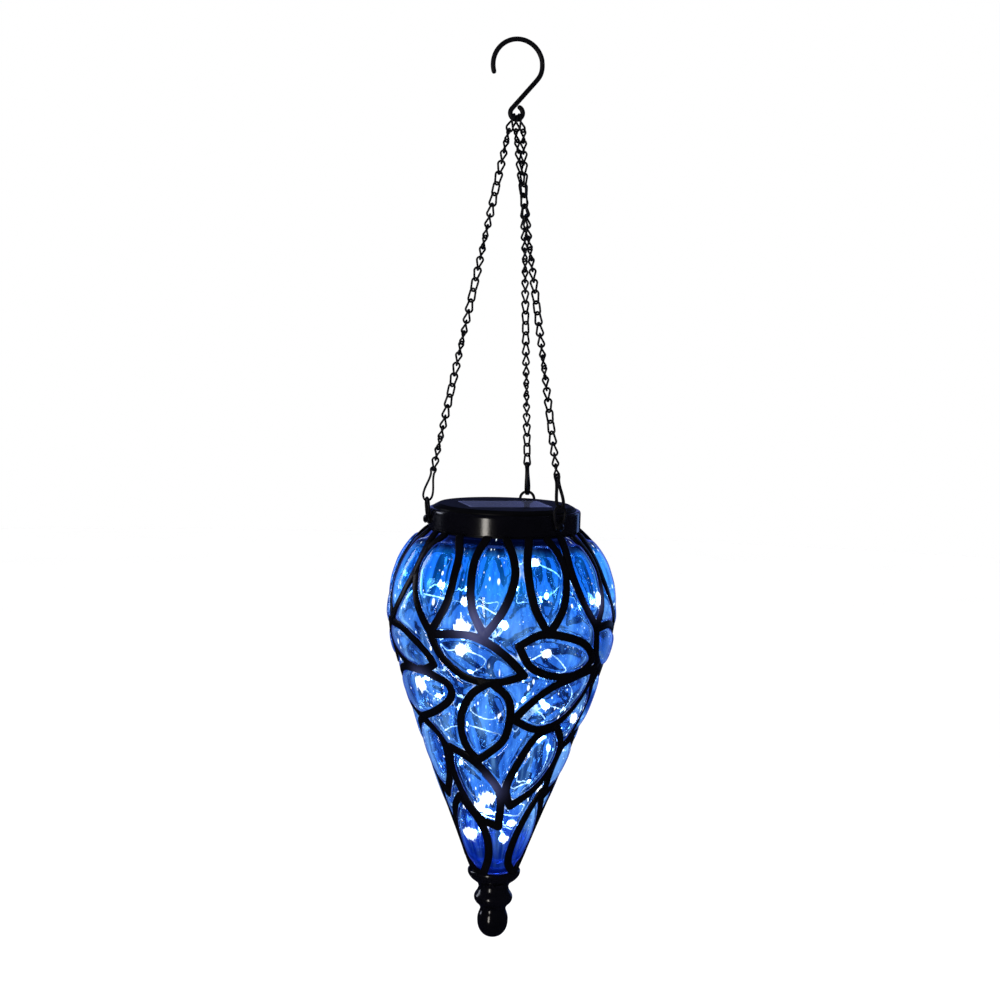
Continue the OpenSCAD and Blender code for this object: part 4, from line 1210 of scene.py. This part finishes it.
m = Mat("battery_sleeve")
n1 = m.noise(150, 4)
m.set(Base_Color=m.mix(n1, (0.02, 0.2, 0.07), (0.05, 0.34, 0.13)), Roughness=m.remap(m.noise(500, 3), 0.3, 0.7, 0.2, 0.36))
m.bump(m.noise(300, 4, 0.6, m.coords((0.2, 1, 1))), 0.3, 0.0001)
put_material(nodes["battery_cell"], m.m)

m = Mat("green_circuit_board")
tr = m.voronoi(300, feature="DISTANCE_TO_EDGE", rnd=0.4)
t1 = m.remap(tr.outputs["Distance"], 0.03, 0.06, 1, 0)
m.set(Base_Color=m.mix(t1, (0.01, 0.12, 0.035), (0.04, 0.26, 0.09)), Roughness=0.35)
m.bump(t1, 0.3, 0.00003)
put_material(nodes["circuit_board"], m.m)
put_material(nodes["board_parts"], moulded("component_body", (0.012, 0.012, 0.014), (0.03, 0.03, 0.034), (0.3, 0.5)))

# ---------------------------------------------------------------- floor, light


def stage():
    m = Mat("pale_floor")
    n = m.noise(3, 3)
    m.set(Base_Color=m.mix(n, (0.9, 0.9, 0.9), (0.93, 0.93, 0.93)), Roughness=0.9, Specular_IOR_Level=0.1)
    z = -1.0
    k = 96
    ring = [(6 * math.cos(2 * math.pi * i / k), 6 * math.sin(2 * math.pi * i / k), z) for i in range(k)]
    floor = new_object("floor", [(0, 0, z)] + ring, [(0, 1 + i, 1 + (i + 1) % k) for i in range(k)], False)
    put_material(floor, m.m)
    floor.visible_glossy = False
    floor.visible_transmission = False

    world = bpy.data.worlds.new("studio")
    scene.world = world
    world.use_nodes = True
    nt = world.node_tree
    nt.nodes.clear()
    out = nt.nodes.new("ShaderNodeOutputWorld")
    bg = nt.nodes.new("ShaderNodeBackground")
    lp = nt.nodes.new("ShaderNodeLightPath")
    tint = nt.nodes.new("ShaderNodeMix")
    tint.data_type = "RGBA"
    tint.inputs[6].default_value = (1, 1, 1, 1)
    tint.inputs[7].default_value = (0.26, 0.33, 1.0, 1)
    nt.links.new(tint.outputs[2], bg.inputs["Color"])
    tc = nt.nodes.new("ShaderNodeTexCoord")
    sp = nt.nodes.new("ShaderNodeSeparateXYZ")
    nt.links.new(tc.outputs["Generated"], sp.inputs[0])

    def wm(op, a_, b_=None):
        n = nt.nodes.new("ShaderNodeMath")
        n.operation = op
        for i, v in enumerate((a_, b_)):
            if v is None:
                continue
            if isinstance(v, bpy.types.NodeSocket):
                nt.links.new(v, n.inputs[i])
            else:
                n.inputs[i].default_value = v
        return n.outputs[0]

    def choose(f, a_, b_):
        n = nt.nodes.new("ShaderNodeMix")
        n.data_type = "FLOAT"
        nt.links.new(f, n.inputs[0])
        for i, v in ((2, a_), (3, b_)):
            if isinstance(v, bpy.types.NodeSocket):
                nt.links.new(v, n.inputs[i])
            else:
                n.inputs[i].default_value = v
        return n.outputs[0]

    # through the glass: bright at eye level, falling off above and below, with soft upright bands
    up = wm("POWER", wm("ABSOLUTE", wm("ADD", sp.outputs[2], 0.1)), 2.0)
    level = wm("POWER", 2.718, wm("MULTIPLY", up, -2.6))
    turn = wm("ARCTAN2", sp.outputs[1], sp.outputs[0])
    band = wm("ADD", 0.84, wm("MULTIPLY", wm("COSINE", wm("MULTIPLY", wm("SUBTRACT", turn, math.radians(75)), 6.0)), 0.16))
    through = wm("MULTIPLY", wm("ADD", 0.1, wm("MULTIPLY", level, 0.6)), band)
    # mirrored: dark, but for a low bluish sky behind the lantern
    sky = wm("POWER", 2.718, wm("MULTIPLY", wm("POWER", wm("ABSOLUTE", wm("SUBTRACT", sp.outputs[2], 0.11)), 2.0), -90.0))
    side = wm("MAXIMUM", 0.0, wm("COSINE", wm("SUBTRACT", turn, math.radians(75))))
    bars = wm("ADD", 0.55, wm("MULTIPLY", wm("COSINE", wm("MULTIPLY", turn, 31.0)), 0.45))
    mirrored = wm("ADD", 0.02, wm("MULTIPLY", wm("MULTIPLY", sky, wm("POWER", side, 6.0)), wm("MULTIPLY", bars, 0.9)))
    v = choose(lp.outputs["Is Glossy Ray"], 1.12, mirrored)
    v = choose(lp.outputs["Is Transmission Ray"], v, through)
    v = choose(lp.outputs["Is Camera Ray"], v, 1.0)
    nt.links.new(wm("MULTIPLY", lp.outputs["Is Glossy Ray"], wm("SUBTRACT", 1.0, lp.outputs["Is Transmission Ray"])), tint.inputs[0])
    nt.links.new(v, bg.inputs["Strength"])
    nt.links.new(bg.outputs[0], out.inputs[0])

    def area(name, pos, target, size, power, color=(1, 1, 1)):
        l = bpy.data.lights.new(name, "AREA")
        l.shape = "RECTANGLE"
        l.size, l.size_y = size
        l.energy = power
        l.color = color
        o = bpy.data.objects.new(name, l)
        scene.collection.objects.link(o)
        o.location = pos
        d = Vector(target) - Vector(pos)
        o.rotation_euler = d.to_track_quat("-Z", "Y").to_euler()
        return o

    area("key", (-1.02, -1.10, -0.44), (0, 0, -0.28), (0.21, 0.9), 9, (1.0, 0.95, 0.88))
    area("side", (1.12, 1.04, -0.2), (0, 0, -0.3), (0.26, 1.0), 0.9, (0.22, 0.4, 1.0))
    area("back", (-1.2, 1.0, 0.1), (0, 0, -0.3), (0.4, 1.0), 6, (0.8, 0.84, 1.0))
    area("top", (0.3, 0.7, 1.2), (0, 0, -0.25), (0.7, 0.5), 3).visible_glossy = False


stage()
scene.view_settings.view_transform = "Standard"
scene.view_settings.look = "None"
scene.view_settings.exposure = 0.0
scene.view_settings.gamma = 1.0
